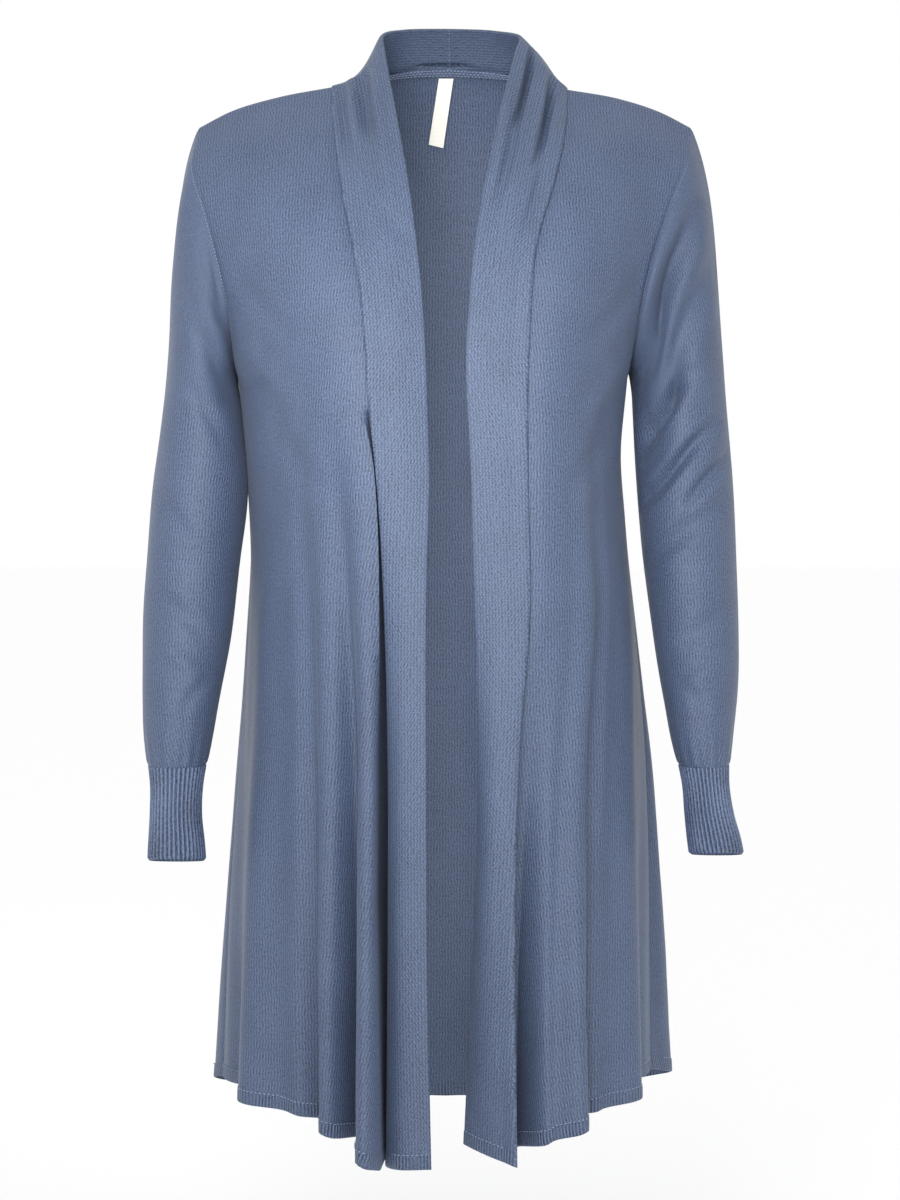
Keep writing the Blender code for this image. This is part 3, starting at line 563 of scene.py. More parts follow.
back_right, back_left = back_half("right"), back_half("left")
back_grid = np.concatenate([back_right[:, ::-1], back_left[:, 1:]], axis=1)
BACK_CENTRE = back_right.shape[1] - 1
back_normals = normals_of(back_grid, False, True)
along_rows = between_columns(back_grid)
to_side = np.minimum(along_rows, along_rows[:, -1:] - along_rows)
from_top = between_rows(back_grid)
back_out = creased(back_grid, back_normals, BACK_CREASES, 1.0) + loose_cloth(back_grid, 0.7, 120.0, 5)
back_out *= held_at(np.minimum(to_side, from_top))
back_out += SEAM_PUFF * smoothstep(np.minimum(to_side, from_top) / PUFF_REACH)
hem_turn = smoothstep((HEM_TALL + HEM_STEP / 2 - FROM_HEM) / HEM_STEP)[:, None]
back_out += HEM_RISE * hem_turn
back_uv = np.stack([along_rows - along_rows[:, BACK_CENTRE : BACK_CENTRE + 1], -from_top], axis=-1)
back_edge = np.broadcast_to(FROM_HEM[:, None], back_grid.shape[:2])
back = wall(
    "back_knit", back_grid, back_normals, back_out, KNIT, back_edge, back_uv, False, True, rib_knit, hem_turn
)
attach(back, "root")
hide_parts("back")


# The two fronts: knit panels from the shoulder to the turned hem, each with its folds hanging from
# the bust, sewn to the back at the shoulder and side. The band is sewn to the inner edge.
FRONT_COLUMNS = 84
PLUMB = 110.0
SLIT_TOP = -262.0
SLIT_SHARP = 0.5
SLIT_STARTS = 50.0
Front = namedtuple("Front", "level in_x in_y in_rise out_x out_y out_z")
BAND_SEAM = {
    "right": rows_of(
        Point,
        (-91.5, 0, -1), (-90, -25, -24), (-86, -55, -54), (-78.7, -90, -99), (-71, -112, -137),
        (-64.3, -126, -177), (-58.6, -138, -256), (-50.8, -137, -334), (-44.6, -132, -444),
        (-42.3, -129, -540), (-42.3, -128, -664), (-44, -128, -863),
    ),
    "left": rows_of(
        Point,
        (99, 0, -3), (97.5, -25, -27), (94, -50, -49), (83, -88, -92), (70.6, -114, -136), (66.8, -126, -177),
        (63.5, -138, -256), (64, -140, -334), (65.5, -140, -412), (56.3, -142, -538), (53.7, -148, -690),
        (56, -156, -857),
    ),
}
ARMHOLE_FRONT = {
    "right": rows_of(
        Point,
        (-200, 0, -34), (-203, -28, -67), (-192, -48, -105), (-182, -56, -143), (-174.5, -50, -180),
        (-171.5, -26, -219), (-169, 8, -232),
    ),
    "left": rows_of(
        Point,
        (200, 0, -34), (194, -30, -62), (180, -48, -99), (165, -57, -143), (156, -50, -187),
        (151.5, -26, -219), (149, 4, -228),
    ),
}
FRONT_ROWS = rows_of(
    Front,
    (0.0, 36, -1, 0.33, -36, -1, 0), (0.25, 38, -12, 0.33, -36, -16, 0), (0.5, 42, -14, 0.33, -28, -30, 0),
    (0.75, 48, -10, 0.33, -14, -42, -12), (1.0, 56, -6, 0.33, -1, -56, -40), (1.25, 54, 2, 0.4, 2, -60, -16),
    (1.6, 56, 4, 0.7, -4, -78, 0), (2.0, 60, 4, 1.0, -14, -100, 0),
)
# Beside the band seam each front turns back sharply. The slit is how far it goes in on its own, and
# the follow is its share of how far the first fold has pushed it out or in by the last column.
Tuck = namedtuple("Tuck", "place slit follow")
TUCKS = {
    "right": rows_of(
        Tuck,
        (0.0, 0, 0), (-0.6, -8, 0), (-4.0, -34, 0), (2.5, -58, 0), (9.6, -34, 0.1), (8.7, -1, 0.72),
        (11.5, 0, 1),
    ),
    "left": rows_of(
        Tuck,
        (0.0, 0, 0), (0.7, -1.2, 0.35), (1.4, -2, 0.65), (2.2, -1.4, 0.85), (3.4, -0.6, 0.95), (6.0, 0, 1),
        (11.5, 0, 1),
    ),
}
NEAR_BAND = [tuck.place for tuck in TUCKS["left"]]
# How wide the slit is open at each height: it opens below the bust and closes again near the hem.
Opening = namedtuple("Opening", "drop wide")
SLIT_OPENS = rows_of(
    Opening,
    (0, 0.3), (56, 0.38), (116, 0.52), (186, 0.74), (276, 1.06), (386, 1.1), (466, 0.85), (601, 0.42),
)
FRONT_FOLDS = {
    "right": rows_of(
        Fold,
        (15.5, 23, 42, -290), (33, 15, -30, -270), (54, 17, 14, -250), (75, 17, -16, -250),
        (136, 34, 19, -360), (190, 30, -8, -420),
    ),
    "left": rows_of(
        Fold,
        (10, 22, -40, -430), (54, 19, 17, -270), (75, 17, -17, -270), (128, 34, 18, -360),
        (184, 30, -8, -420),
    ),
}
# Small creases seen from the front.
FRONT_CREASES = {
    "right": rows_of(
        Crease,
        (-168, -150, -118, -208, 13, -2.4, -4), (-160, -205, -112, -262, 12, 2.2, -4),
        (-150, -236, -96, -330, 15, -2.4, -6),
    ),
    "left": rows_of(
        Crease,
        (158, -150, 110, -214, 13, -2.4, 4), (146, -214, 104, -276, 12, 2.2, 4),
        (138, -246, 92, -340, 14, -2.4, 5),
    ),
}


def band_seam(side):
    """The inner end of each row of a front, where the band is sewn on."""
    top, hem = BAND_SEAM[side][0].z, BAND_SEAM[side][-1].z
    heights = [
        top + (CHEST_Z - top) * level if level < 1 else CHEST_Z + (hem - CHEST_Z) * (level - 1)
        for level in LEVELS
    ]
    return at_height(BAND_SEAM[side], heights)


def tucked(row, full, tucks, hem_z):
    """A row of a front with its folds, turned back sharply beside the band seam."""
    drop = SLIT_TOP - row[0][2]
    grown = np.clip(drop / (SLIT_TOP - hem_z), 0.0, 1.0) ** SLIT_SHARP
    opens = np.interp(drop, [step.drop for step in SLIT_OPENS], [step.wide for step in SLIT_OPENS])
    started = smoothstep(drop / SLIT_STARTS)
    last = len(tucks) - 1
    ahead = (row[last] - row[0]) / tucks[last].place
    ahead[2] = 0.0
    forward = np.array([0.0, -1.0, 0.0])
    pushed = full[last] - row[last]
    for k, tuck in enumerate(tucks[:-1]):
        start = row[0] + ahead * (tuck.place * opens * started + NEAR_BAND[k] * (1 - started))
        full[k] = [*(start + pushed * tuck.follow + forward * tuck.slit * grown)[:2], row[k][2]]
    return full


def front_grid(side):
    """Outer points of a front: rows from the shoulder to the hem, columns from the band to the side."""
    sign = SIGN[side]
    inner, outer = band_seam(side), outer_seam(side, ARMHOLE_FRONT)
    rows, plumbs = [], []
    for level, start, end in zip(LEVELS, inner, outer):
        shape = row_at(FRONT_ROWS, level)
        rise = end[2] - start[2]
        handle_start = start + np.array([sign * shape.in_x, shape.in_y, rise * shape.in_rise])
        out_z = shape.out_z - rise * min(1 / 3, 1 - shape.in_rise)
        handle_end = end + np.array([sign * shape.out_x, shape.out_y, out_z])
        line = bezier(start, handle_start, handle_end, end)
        length = lengths_along(line)[-1]
        places = np.concatenate([NEAR_BAND, np.linspace(NEAR_BAND[-1], length, FRONT_COLUMNS)[1:]])
        row = at_distances(line, places)
        plumb = np.interp(PLUMB, np.abs(line[:, 0]), lengths_along(line))
        plumbs.append(np.interp(plumb, places, np.arange(len(places))))
        full = folded(row, places, FRONT_FOLDS[side], outer[-1][2], -sign, NEAR_BAND[-1])
        rows.append(tucked(row, full, TUCKS[side], outer[-1][2]))
    top = dense(SHOULDER[side])
    top = at_distances(top, np.linspace(0.0, 1.0, len(places)) * lengths_along(top)[-1])
    return settle_top(np.array(rows), top), np.array(plumbs)


def from_plumb(along, plumbs):
    """Distances along each row from the column where the row crosses a plumb line."""
    columns = np.arange(along.shape[1])
    zero = [np.interp(column, columns, places) for places, column in zip(along, plumbs)]
    return along - np.array(zero)[:, None]


fronts = {}
for side in ("right", "left"):
    grid, plumbs = front_grid(side)
    normals = normals_of(grid, False, side == "right")
    along = between_columns(grid)
    down = between_rows(grid)
    to_seam = np.minimum(np.minimum(along, along[:, -1:] - along), down)
    out = creased(grid, normals, FRONT_CREASES[side], -1.0) + loose_cloth(grid, 0.6, 110.0, 11)
    out *= held_at(to_seam)
    out += SEAM_PUFF * smoothstep(to_seam / PUFF_REACH) + HEM_RISE * hem_turn
    middle_down = np.broadcast_to(-down[:, FRONT_COLUMNS // 2][:, None], along.shape)
    uv = np.stack([from_plumb(along, plumbs), middle_down], axis=-1)
    edge = np.broadcast_to(FROM_HEM[:, None], along.shape)
    front = wall(
        "front_knit_" + side, grid, normals, out, KNIT, edge, uv, False, side == "right", rib_knit, hem_turn
    )
    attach(front, "root")
    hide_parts("front_" + side)
    fronts[side] = grid


# The collar and front band: a doubled strip of the same rib, from the hem up round the neck and down
# again, with a seam at the centre back. Its free edge is a fold, soft and round.
BAND_KNIT = 3.2
BAND_COLUMNS = 40
BAND_PLACES = np.array(
    [0.0, 0.005, 0.012, 0.022, *np.linspace(0.04, 0.945, BAND_COLUMNS), 0.965, 0.98, 0.99, 0.996, 1.0]
)
BAND_PROUD = 2.3
BAND_PROUD_AT_NECK = 0.7
BAND_PROUD_REACH = 13.0
BAND_LAPS = 1.3
LAP_SHARES = (1.0, 0.75, 0.4, 0.1)
PROUD_FROM = 0.4
GROOVE_X = -2.5
GROOVE_REACH = 26.0
GROOVE_FADE = 10.0
GROOVE_UP = 10.2
GROOVE_HALF = 1.5
GROOVE_DEEP = 4.0
Band = namedtuple("Band", "level x y z lift crown")
BAND_EDGE = {
    "right": rows_of(
        Band,
        (-1.0, 3, 52, 52, 3, 2), (-0.6, -34, 44, 50.5, 3, 3), (-0.3, -51, 24, 45, -8, -1),
        (0.0, -50, 2, 30, -10, -3), (0.25, -39, -46, -25, 2, 1), (0.45, -29, -85, -80, 6, 2),
        (0.62, -22.5, -109, -126, 5, 2), (0.8, -17.5, -124, -173, 5, 2), (1.05, -13.2, -135, -256, 5, 3),
        (1.15, -11.6, -139, -317, 6, 3), (1.25, -13.4, -142, -381, 9, 4), (1.5, -14.3, -147, -540, 15, 6),
        (1.8, -13.6, -150, -731, 17, 6), (2.0, -11, -148, -861, 17, 5),
    ),
    "left": rows_of(
        Band,
        (-1.0, 3, 52, 52, 3, 2), (-0.6, 42, 44, 49.5, 3, 3), (-0.3, 61, 24, 43, 5, 5), (0.0, 56, 1, 25, 5, 9),
        (0.25, 43, -49, -27, 4, 4), (0.45, 32, -87, -78, 4, 4), (0.62, 23.5, -111, -128, 4, 3),
        (0.8, 18.5, -124, -175, 4, 3), (1.05, 16.5, -136, -256, 4, 3), (1.12, 18.9, -139, -298, 4, 3),
        (1.25, 21.5, -139, -381, 5, 4), (1.5, 25.7, -131, -540, 11, 9), (1.68, 24, -127, -653, 12, 11),
        (1.85, 19, -124, -752, 8, 8), (2.0, 14.5, -122, -846, 4, 4),
    ),
}
# Where the collar bends over the shoulders it creases, most on the left.
BAND_CREASES = {
    "right": rows_of(
        Crease,
        (-66, 20, -58, -50, 9, -8, -3), (-86, 4, -77, -66, 8, -4.5, -2), (-77, 10, -69, -58, 7, 3, -2),
        (-55, 12, -43, -80, 8, 2.5, -3), (-50, -96, -26, -132, 12, -2, -3),
    ),
    "left": rows_of(
        Crease,
        (73, 44, 56, -38, 5, -11, 2), (80, 20, 66, -60, 5, 4, 3), (89, 18, 70, -74, 5, -9, 3),
        (60, -4, 32, -120, 7, -4, 5), (80, -56, 62, -124, 8, -3.5, 3), (50, 10, 36, -90, 7, 3, 3),
    ),
}


def band_grid(side):
    """Outer points of a band: rows from the hem up and round to the centre back, seam to edge."""
    turn = 1 if side == "right" else -1
    centre = SHOULDER_COLUMNS + NECK_COLUMNS // 2
    neck_point = SHOULDER_COLUMNS if side == "right" else SHOULDER_COLUMNS + NECK_COLUMNS
    neck = back_grid[0, [column for column in range(neck_point + turn, centre + turn, turn)]]
    neck_levels = [-(k + 1) / len(neck) for k in range(len(neck))]
    seam = np.concatenate([fronts[side][::-1, 0], neck])
    edges = [row_at(BAND_EDGE[side], level) for level in LEVELS[::-1] + neck_levels]
    folded_edge = np.array([[edge.x, edge.y, edge.z] for edge in edges])
    up = np.gradient(seam + folded_edge, axis=0)
    up[-1] = [-SIGN[side], 0.0, 0.0]
    rows = []
    for start, end, along, edge in zip(seam, folded_edge, up, edges):
        width = end - start
        out = np.cross(width, along) * -SIGN[side]
        out /= np.linalg.norm(out)
        handle_start = start + width / 3 + out * edge.lift
        handle_end = end - width / 3 + out * edge.crown
        line = bezier(start, handle_start, handle_end, end)
        rows.append(at_distances(line, BAND_PLACES * lengths_along(line)[-1]))
    return np.array(rows)


# The band's stitch grain carries a stronger painted shade than the body's, darker in the dips of its bump.
own = {"grain_long": 4.4, "painted_grain_shade": 0.3, "fleck": (0.42, 0.85)}
band_knit = knit_finish("doubled viscose rib of the band", "#202939", "#63728f", **own)
bands = {}
for side in ("right", "left"):
    grid = band_grid(side)
    normals = normals_of(grid, False, side == "right")
    along = between_columns(grid)
    up = between_rows(grid)
    out = creased(grid, normals, BAND_CREASES[side], -1.0) + loose_cloth(grid, 0.5, 90.0, 23)
    out *= held_at(along) * held_at(up[-1:] - up)
    out += SEAM_PUFF * smoothstep((up[-1:] - up) / PUFF_REACH)
    from_hem = np.concatenate([FROM_HEM[::-1], np.full(NECK_COLUMNS // 2, BODY_TALL)])
    hem = smoothstep((HEM_TALL + HEM_STEP / 2 - from_hem) / HEM_STEP)[:, None]
    out += HEM_RISE * hem
    # Above the middle of the neck seam the inside of the collar has a narrow groove. Both faces follow
    # it, so it stands out as a ridge behind.
    groove = np.exp(-(((along - GROOVE_UP) / GROOVE_HALF) ** 2))
    groove *= smoothstep((GROOVE_REACH - np.abs(grid[:, :1, 0] - GROOVE_X)) / GROOVE_FADE)
    groove[: len(LEVELS)] = 0.0
    out += GROOVE_DEEP * groove
    # The seam edge is a folded seam allowance: it stands proud of the front and laps over it.
    neck_proud = np.full(NECK_COLUMNS // 2, BAND_PROUD_AT_NECK)
    to_neck = smoothstep((PROUD_FROM - np.array(LEVELS[::-1])) / PROUD_FROM)
    front_proud = BAND_PROUD - (BAND_PROUD - BAND_PROUD_AT_NECK) * to_neck
    proud = np.concatenate([front_proud, neck_proud])
    proud = proud[:, None] * (1 - smoothstep(along / BAND_PROUD_REACH))
    lap = grid[:, 1] - grid[:, 0]
    lap *= BAND_LAPS / np.linalg.norm(lap, axis=1)[:, None]
    lapped = grid + normals * proud[:, :, None]
    for column, share in enumerate(LAP_SHARES):
        lapped[:, column] -= lap * share
    from_seam = between_columns(lapped)
    edge = np.minimum(np.minimum(from_seam, along[:, -1:] - along), from_hem[:, None])
    middle_up = np.broadcast_to(up[:, len(BAND_PLACES) // 2][:, None], along.shape)
    uv = np.stack([along[:, -1:] - along, middle_up], axis=-1)
    band = wall(
        "band_knit_" + side, lapped, normals, out, BAND_KNIT, edge, uv, False, side == "right", band_knit, hem
    )
    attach(band, "root")
    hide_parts("band_" + side, "collar_" + side)
    bands[side] = (grid, normals)


# The two sleeves: long, slim and set in, each with one seam under the arm. The cap is eased into the
# armhole, and the end is drawn in a little where the rib cuff is linked on.
LEAVES_OUT = 0.3
LEAVES_FORWARD = 0.25
LEAVES_DOWN = 0.75
GAINS_OUT = 0.1
GAINS_DOWN = 0.15
CAP_FULLNESS = 0.75
CAP_ROWS = 44
GATHERS = 17
GATHER_RISE = 0.8
GATHER_REACH = 16.0
ARM_ROWS = 100
Ring = namedtuple("Ring", "x y z half_width half_depth")
SLEEVE = {
    "right": rows_of(
        Ring,
        (-198.6, -1, -262, 31.4, 50), (-200.1, -2, -321, 37.6, 49), (-206, -7, -387, 37.6, 46),
        (-211.4, -17, -451, 35.1, 42), (-215, -29, -499, 30.6, 38), (-216.8, -38, -531, 26.6, 34),
        (-217.3, -43, -551, 23, 30),
    ),
    "left": rows_of(
        Ring,
        (191.8, 0, -262, 37.7, 50), (195.9, -2, -321, 38.5, 49), (200.2, -7, -387, 37.3, 46),
        (205, -17, -451, 33.9, 42), (207.9, -29, -499, 29.2, 38), (208.9, -38, -531, 24.3, 33),
        (210, -43, -551, 19.8, 29),
    ),
}
SLEEVE_CREASES = {
    "right": rows_of(
        Crease,
        (-190, -96, -180, -200, 10, -3.2, 4), (-206, -190, -172, -268, 11, -3.0, 5),
        (-214, -236, -176, -300, 9, -2.0, 4), (-196, -170, -176, -236, 8, 2.0, 3),
        (-236, -330, -204, -372, 10, -2.0, 3), (-240, -410, -192, -448, 11, -2.6, 4),
        (-244, -446, -196, -482, 11, 2.2, 4), (-188, -478, -214, -512, 9, -1.8, -3),
    ),
    "left": rows_of(
        Crease,
        (206, -96, 152, -250, 14, -16, -2), (182, -96, 153, -214, 9, 3.5, -3),
        (226, -130, 176, -262, 14, -7, -3), (200, -130, 156, -340, 26, -8, -3),
        (204, -226, 148, -304, 12, -12, -3), (222, -272, 152, -350, 10, -11, -3),
        (236, -296, 192, -344, 9, -7, -2), (232, -336, 160, -392, 14, -4, -4),
        (236, -420, 188, -458, 13, -3, -3), (238, -458, 190, -494, 12, 2.4, -3),
        (186, -480, 212, -514, 9, -1.8, 3),
    ),
}


def ring_points(ring, sign, turns):
    """A closed ring round the arm, from the side nearest the body, forwards and round."""
    x = ring.x - sign * np.cos(turns) * ring.half_width
    y = ring.y - np.sin(turns) * ring.half_depth
    return np.stack([x, y, np.full(len(turns), ring.z)], axis=1)


def rings_between(table, count):
    """Rings spaced evenly down a table of rings."""
    down = [-ring.z for ring in table]
    return [Ring(*through(down, table, height)) for height in np.linspace(down[0], down[-1], count + 1)]


def sleeve_grid(side):
    """Outer points of a sleeve, a closed tube from the armhole to the cuff."""
    sign = SIGN[side]
    edge = 0 if side == "right" else -1
    loop = np.concatenate([fronts[side][YOKE_ROWS::-1, -1], back_grid[1:YOKE_ROWS, edge]])
    turns = 2 * math.pi * np.arange(len(loop)) / len(loop)
    arm = [ring_points(ring, sign, turns) for ring in rings_between(SLEEVE[side], ARM_ROWS)]
    down_the_arm = arm[1] - arm[0]
    down_the_arm /= np.linalg.norm(down_the_arm, axis=1)[:, None]
    over = (1 - np.cos(turns)) / 2
    leaves = (sign * (LEAVES_OUT + GAINS_OUT * over), -LEAVES_FORWARD * np.sin(turns))
    leaving = np.stack([*leaves, -LEAVES_DOWN - GAINS_DOWN * over], axis=1)
    leaving /= np.linalg.norm(leaving, axis=1)[:, None]
    span = np.linalg.norm(arm[0] - loop, axis=1)[:, None]
    cap = []
    for row in range(CAP_ROWS):
        t = row / CAP_ROWS
        start = (1 + 2 * t) * (1 - t) ** 2 * loop + t * (1 - t) ** 2 * span * leaving * CAP_FULLNESS
        end = t * t * (3 - 2 * t) * arm[0] + t * t * (t - 1) * span * down_the_arm
        cap.append(start + end)
    return np.array(cap + arm), turns


def round_the_arm(grid, turns):
    """Distance of each point from the middle of the outside of the sleeve, round the sleeve."""
    closed = np.concatenate([grid, grid[:, :1]], axis=1)
    around = between_columns(closed)[:, :-1]
    outermost = len(turns) // 2
    return around - around[:, outermost : outermost + 1]


sleeves = {}
for side in ("right", "left"):
    grid, turns = sleeve_grid(side)
    normals = normals_of(grid, True, side == "right")
    down = between_rows(grid)
    out = creased(grid, normals, SLEEVE_CREASES[side], -1.0) + loose_cloth(grid, 0.7, 80.0, 31)
    out *= held_at(np.minimum(down, down[-1:] - down))
    to_cuff = down[-1:] - down
    gathers = GATHER_RISE * np.cos(turns * GATHERS + 0.6 * np.sin(turns * 3))
    gathers = gathers * np.exp(-to_cuff / GATHER_REACH)
    out += gathers * smoothstep(to_cuff / 6.0)
    out += SEAM_PUFF * smoothstep(np.minimum(down, to_cuff) / PUFF_REACH)
    middle_down = np.broadcast_to(-down[:, len(turns) // 2][:, None], down.shape)
    uv = np.stack([round_the_arm(grid, turns), middle_down], axis=-1)
    no_edge = np.full(down.shape, BODY_TALL)
    sleeve = wall(
        "sleeve_knit_" + side, grid, normals, out, KNIT, no_edge, uv, True, side == "right", rib_knit
    )
    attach(sleeve, "root")
    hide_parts("sleeve_" + side)
    sleeves[side] = (grid, normals)


# The two cuffs: tubes of bold 1x1 rib, about 7.5 cm deep, linked to the sleeve ends. The ribs are
# raised in the knitting; their tops are painted lighter and the dips between painted dark, as painted shade
# of the ribs.
CUFF_RIBS = 38
RIB_POINTS = 8
RIB_RISE = 1.3
CUFF_ROWS = 36
CUFF_TILT = 4.5
CUFF = {
    "right": rows_of(
        Ring,
        (-217.3, -43, -551, 22.6, 29.5), (-217.6, -46, -566, 20.6, 27), (-218, -51, -590, 20.1, 26),
        (-217.2, -56, -612, 21.8, 27), (-216.8, -59, -627, 22.8, 28),
    ),
    "left": rows_of(
        Ring,
        (210, -43, -551, 19.6, 28.5), (211.4, -46, -566, 18.2, 26.5), (214, -51, -590, 19, 26),
        (217.6, -56, -610, 20.8, 27), (219.5, -59, -622, 21.2, 28),
    ),
}
RIB_UV = 3.6
# The strong rib shade paints the dips between the cuff ribs dark and their tops light: painted shade.
own = {"rib_pitch": RIB_UV, "painted_rib_shade": 0.62, "painted_grain_shade": 0.1, "waver_by": 0.0}
cuff_knit = knit_finish("1x1 rib knit of the cuffs", "#161d2b", "#6a7a9a", **own)
for side in ("right", "left"):
    turns = 2 * math.pi * np.arange(CUFF_RIBS * RIB_POINTS) / (CUFF_RIBS * RIB_POINTS)
    rings = rings_between(CUFF[side], CUFF_ROWS)
    grid = np.array([ring_points(ring, SIGN[side], turns) for ring in rings])
    # The mouth is square to the forearm, which leans forward, so its front edge is the higher one.
    grid[:, :, 2] += CUFF_TILT * np.linspace(0.0, 1.0, len(rings))[:, None] * np.sin(turns)
    normals = normals_of(grid, True, side == "right")
    down = between_rows(grid)
    waver = 0.35 * np.sin(down / 11.0 + 2.0 * np.sin(turns))
    ribs = 0.5 - 0.5 * np.cos(turns[None, :] * CUFF_RIBS + waver)
    out = RIB_RISE * ribs**0.8 * (0.85 + 0.15 * np.cos(turns * 5 + 1.0))
    uv = np.stack([np.broadcast_to(turns * CUFF_RIBS / (2 * math.pi) * RIB_UV, down.shape), -down], axis=-1)
    cuff = wall(
        "cuff_knit_" + side, grid, normals, out, KNIT, down[-1:] - down, uv, True, side == "right", cuff_knit
    )
    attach(cuff, "root")
    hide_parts("cuff_" + side)


# The back neck seam: the seam allowance, turned down and serged, so it is a raised cord that is
# thickest in the middle. It is of the same knit.
TAPE_FROM = 5
TAPE_ABOVE = 0.8
TAPE_TALL_MIDDLE = 7.5
TAPE_TALL_END = 3.5
TAPE_STANDS_OFF = 4.5
TAPE_KNIT = 1.2
SEAM_GAP = 0.3
TAPE_ACROSS = 6
feet, tops, outs = [], [], []
for side in ("right", "left"):
    grid, normals = bands[side]
    stations = range(len(LEVELS) + TAPE_FROM, len(grid))
    rows = []
    for station in stations:
        share = smoothstep((station - stations[0]) / (len(stations) - 1))
        tall = TAPE_TALL_END + (TAPE_TALL_MIDDLE - TAPE_TALL_END) * share
        up = grid[station, 3] - grid[station, 0]
        up /= np.linalg.norm(up)
        away = normals[station, 2]
        foot = grid[station, 0] + up * TAPE_ABOVE - away * (BAND_KNIT + SEAM_GAP)
        rows.append((foot, foot + up * tall - away * TAPE_STANDS_OFF * share, away))
    if side == "left":
        rows = rows[-2::-1]
    for foot, top, away in rows:
        feet.append(foot)
        tops.append(top)
        outs.append(away)
feet, tops, outs = np.array(feet), np.array(tops), np.array(outs)
shares = np.linspace(0.0, 1.0, TAPE_ACROSS + 1)[None, :, None]
tape_grid = feet[:, None] * (1 - shares) + tops[:, None] * shares
tape_normals = np.repeat(outs[:, None], TAPE_ACROSS + 1, axis=1)
across_tape = between_columns(tape_grid)
tape_uv = np.stack([across_tape, between_rows(tape_grid)], axis=-1)
tape_edge = np.minimum(across_tape, across_tape[:, -1:] - across_tape)
# Its rib dips are painted darker and its rib tops lighter: painted shade of the relief.
seam_knit = knit_finish("serged knit of the neck seam", "#2a3447", "#72819f", 1.9, painted_rib_shade=0.3)
flat_out = np.zeros(across_tape.shape)
tape = wall(
    "neck_seam_allowance", tape_grid, tape_normals, flat_out, TAPE_KNIT, tape_edge, tape_uv,
    False, True, seam_knit,
)
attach(tape, "root")
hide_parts("neck_tape")


# The label: a short plain woven tape in cream, caught in the neck seam and hanging loose.
LABEL_TOP_X = 1.0
LABEL_LEANS = -8.5
LABEL_WIDE = 12.2
LABEL_LONG = 58.0
LABEL_TILT = 0.24
LABEL_FROM = 2.0
LABEL_OFF_TOP = 0.8
LABEL_OFF_BOTTOM = 3.0
LABEL_CLOTH = 1.0
WEFT = 1.1
LABEL_ROWS = 30
LABEL_COLUMNS = 8
down = np.linspace(LABEL_FROM, LABEL_FROM + LABEL_LONG, LABEL_ROWS + 1)
line = at_distances(back_grid[:YOKE_ROWS, SHOULDER_COLUMNS + NECK_COLUMNS // 2], down)
rows = []
for k, point in enumerate(line):
    share = k / LABEL_ROWS
    off = KNIT + SEAM_GAP + LABEL_OFF_TOP + (LABEL_OFF_BOTTOM - LABEL_OFF_TOP) * share
    middle = np.array([LABEL_TOP_X + LABEL_LEANS * share, point[1] - off, point[2]])
    places = np.linspace(-1.0, 1.0, LABEL_COLUMNS + 1)
    curl = np.abs(places) ** 3 * 0.5 * share
    tilt = LABEL_TILT * share
    for_row = [LABEL_WIDE / 2 * place * np.array([1.0, 0.0, -tilt]) for place in places]
    rows.append([middle + beside - np.array([0.0, lift, 0.0]) for beside, lift in zip(for_row, curl)])
label_grid = np.array(rows)
label_normals = np.broadcast_to(np.array([0.0, 1.0, 0.0]), label_grid.shape)
across_label = between_columns(label_grid)
down_label = between_rows(label_grid)
tape_cloth = bpy.data.materials.new("cream woven polyester tape")
tape_cloth.use_nodes = True
tree = tape_cloth.node_tree
place = node(tree, "ShaderNodeUVMap", {"uv_map": "cloth"}).outputs["UV"]
woven = {"Vector": place, "Scale": FULL_TURN / (20 * WEFT), "Distortion": 0.6, "Detail": 1.0}
bands_down = {"wave_type": "BANDS", "bands_direction": "Y"}
weft = node(tree, "ShaderNodeTexWave", bands_down, woven).outputs["Fac"]
# The weft rows are painted lighter where the bump raises them and darker between: painted shade of the weave.
ramp = node(tree, "ShaderNodeValToRGB", inputs={"Fac": weft})
ramp.color_ramp.elements[0].color = linear("#ebe8dc")
ramp.color_ramp.elements[1].color = linear("#faf8f1")
bump = node(tree, "ShaderNodeBump", inputs={"Strength": 0.4, "Distance": 0.2 * MM, "Height": weft})
look = {"Base Color": ramp.outputs["Color"], "Normal": bump.outputs["Normal"], "Roughness": 0.7}
feed(tree, tree.nodes["Principled BSDF"], look)
label_edge = np.minimum(across_label, across_label[:, -1:] - across_label)
label_edge = np.minimum(down_label[-1:] - down_label, label_edge)
label_uv = np.stack([across_label, -down_label], axis=-1)
flat_out = np.zeros(across_label.shape)
label = wall(
    "label_tape", label_grid, label_normals, flat_out, LABEL_CLOTH, label_edge, label_uv,
    False, True, tape_cloth,
)
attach(label, "root")
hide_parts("label")


# The sewing that shows: a row of pale stitches at the top of every hem, and a fine row beside each
# armhole seam. Each stitch is a short bead of thread.
STITCH_LIFT = 0.15
thread = bpy.data.materials.new("spun polyester thread")
thread.use_nodes = True
tree = thread.node_tree
twist = {"Vector": node(tree, "ShaderNodeTexCoord").outputs["Object"], "Scale": 900.0, "Detail": 1.0}
twist = node(tree, "ShaderNodeTexNoise", inputs=twist).outputs["Fac"]
ramp = node(tree, "ShaderNodeValToRGB", inputs={"Fac": twist})
ramp.color_ramp.elements[0].color = linear("#5f6d89")
ramp.color_ramp.elements[1].color = linear("#98a6c2")
feed(tree, tree.nodes["Principled BSDF"], {"Base Color": ramp.outputs["Color"], "Roughness": 0.55})


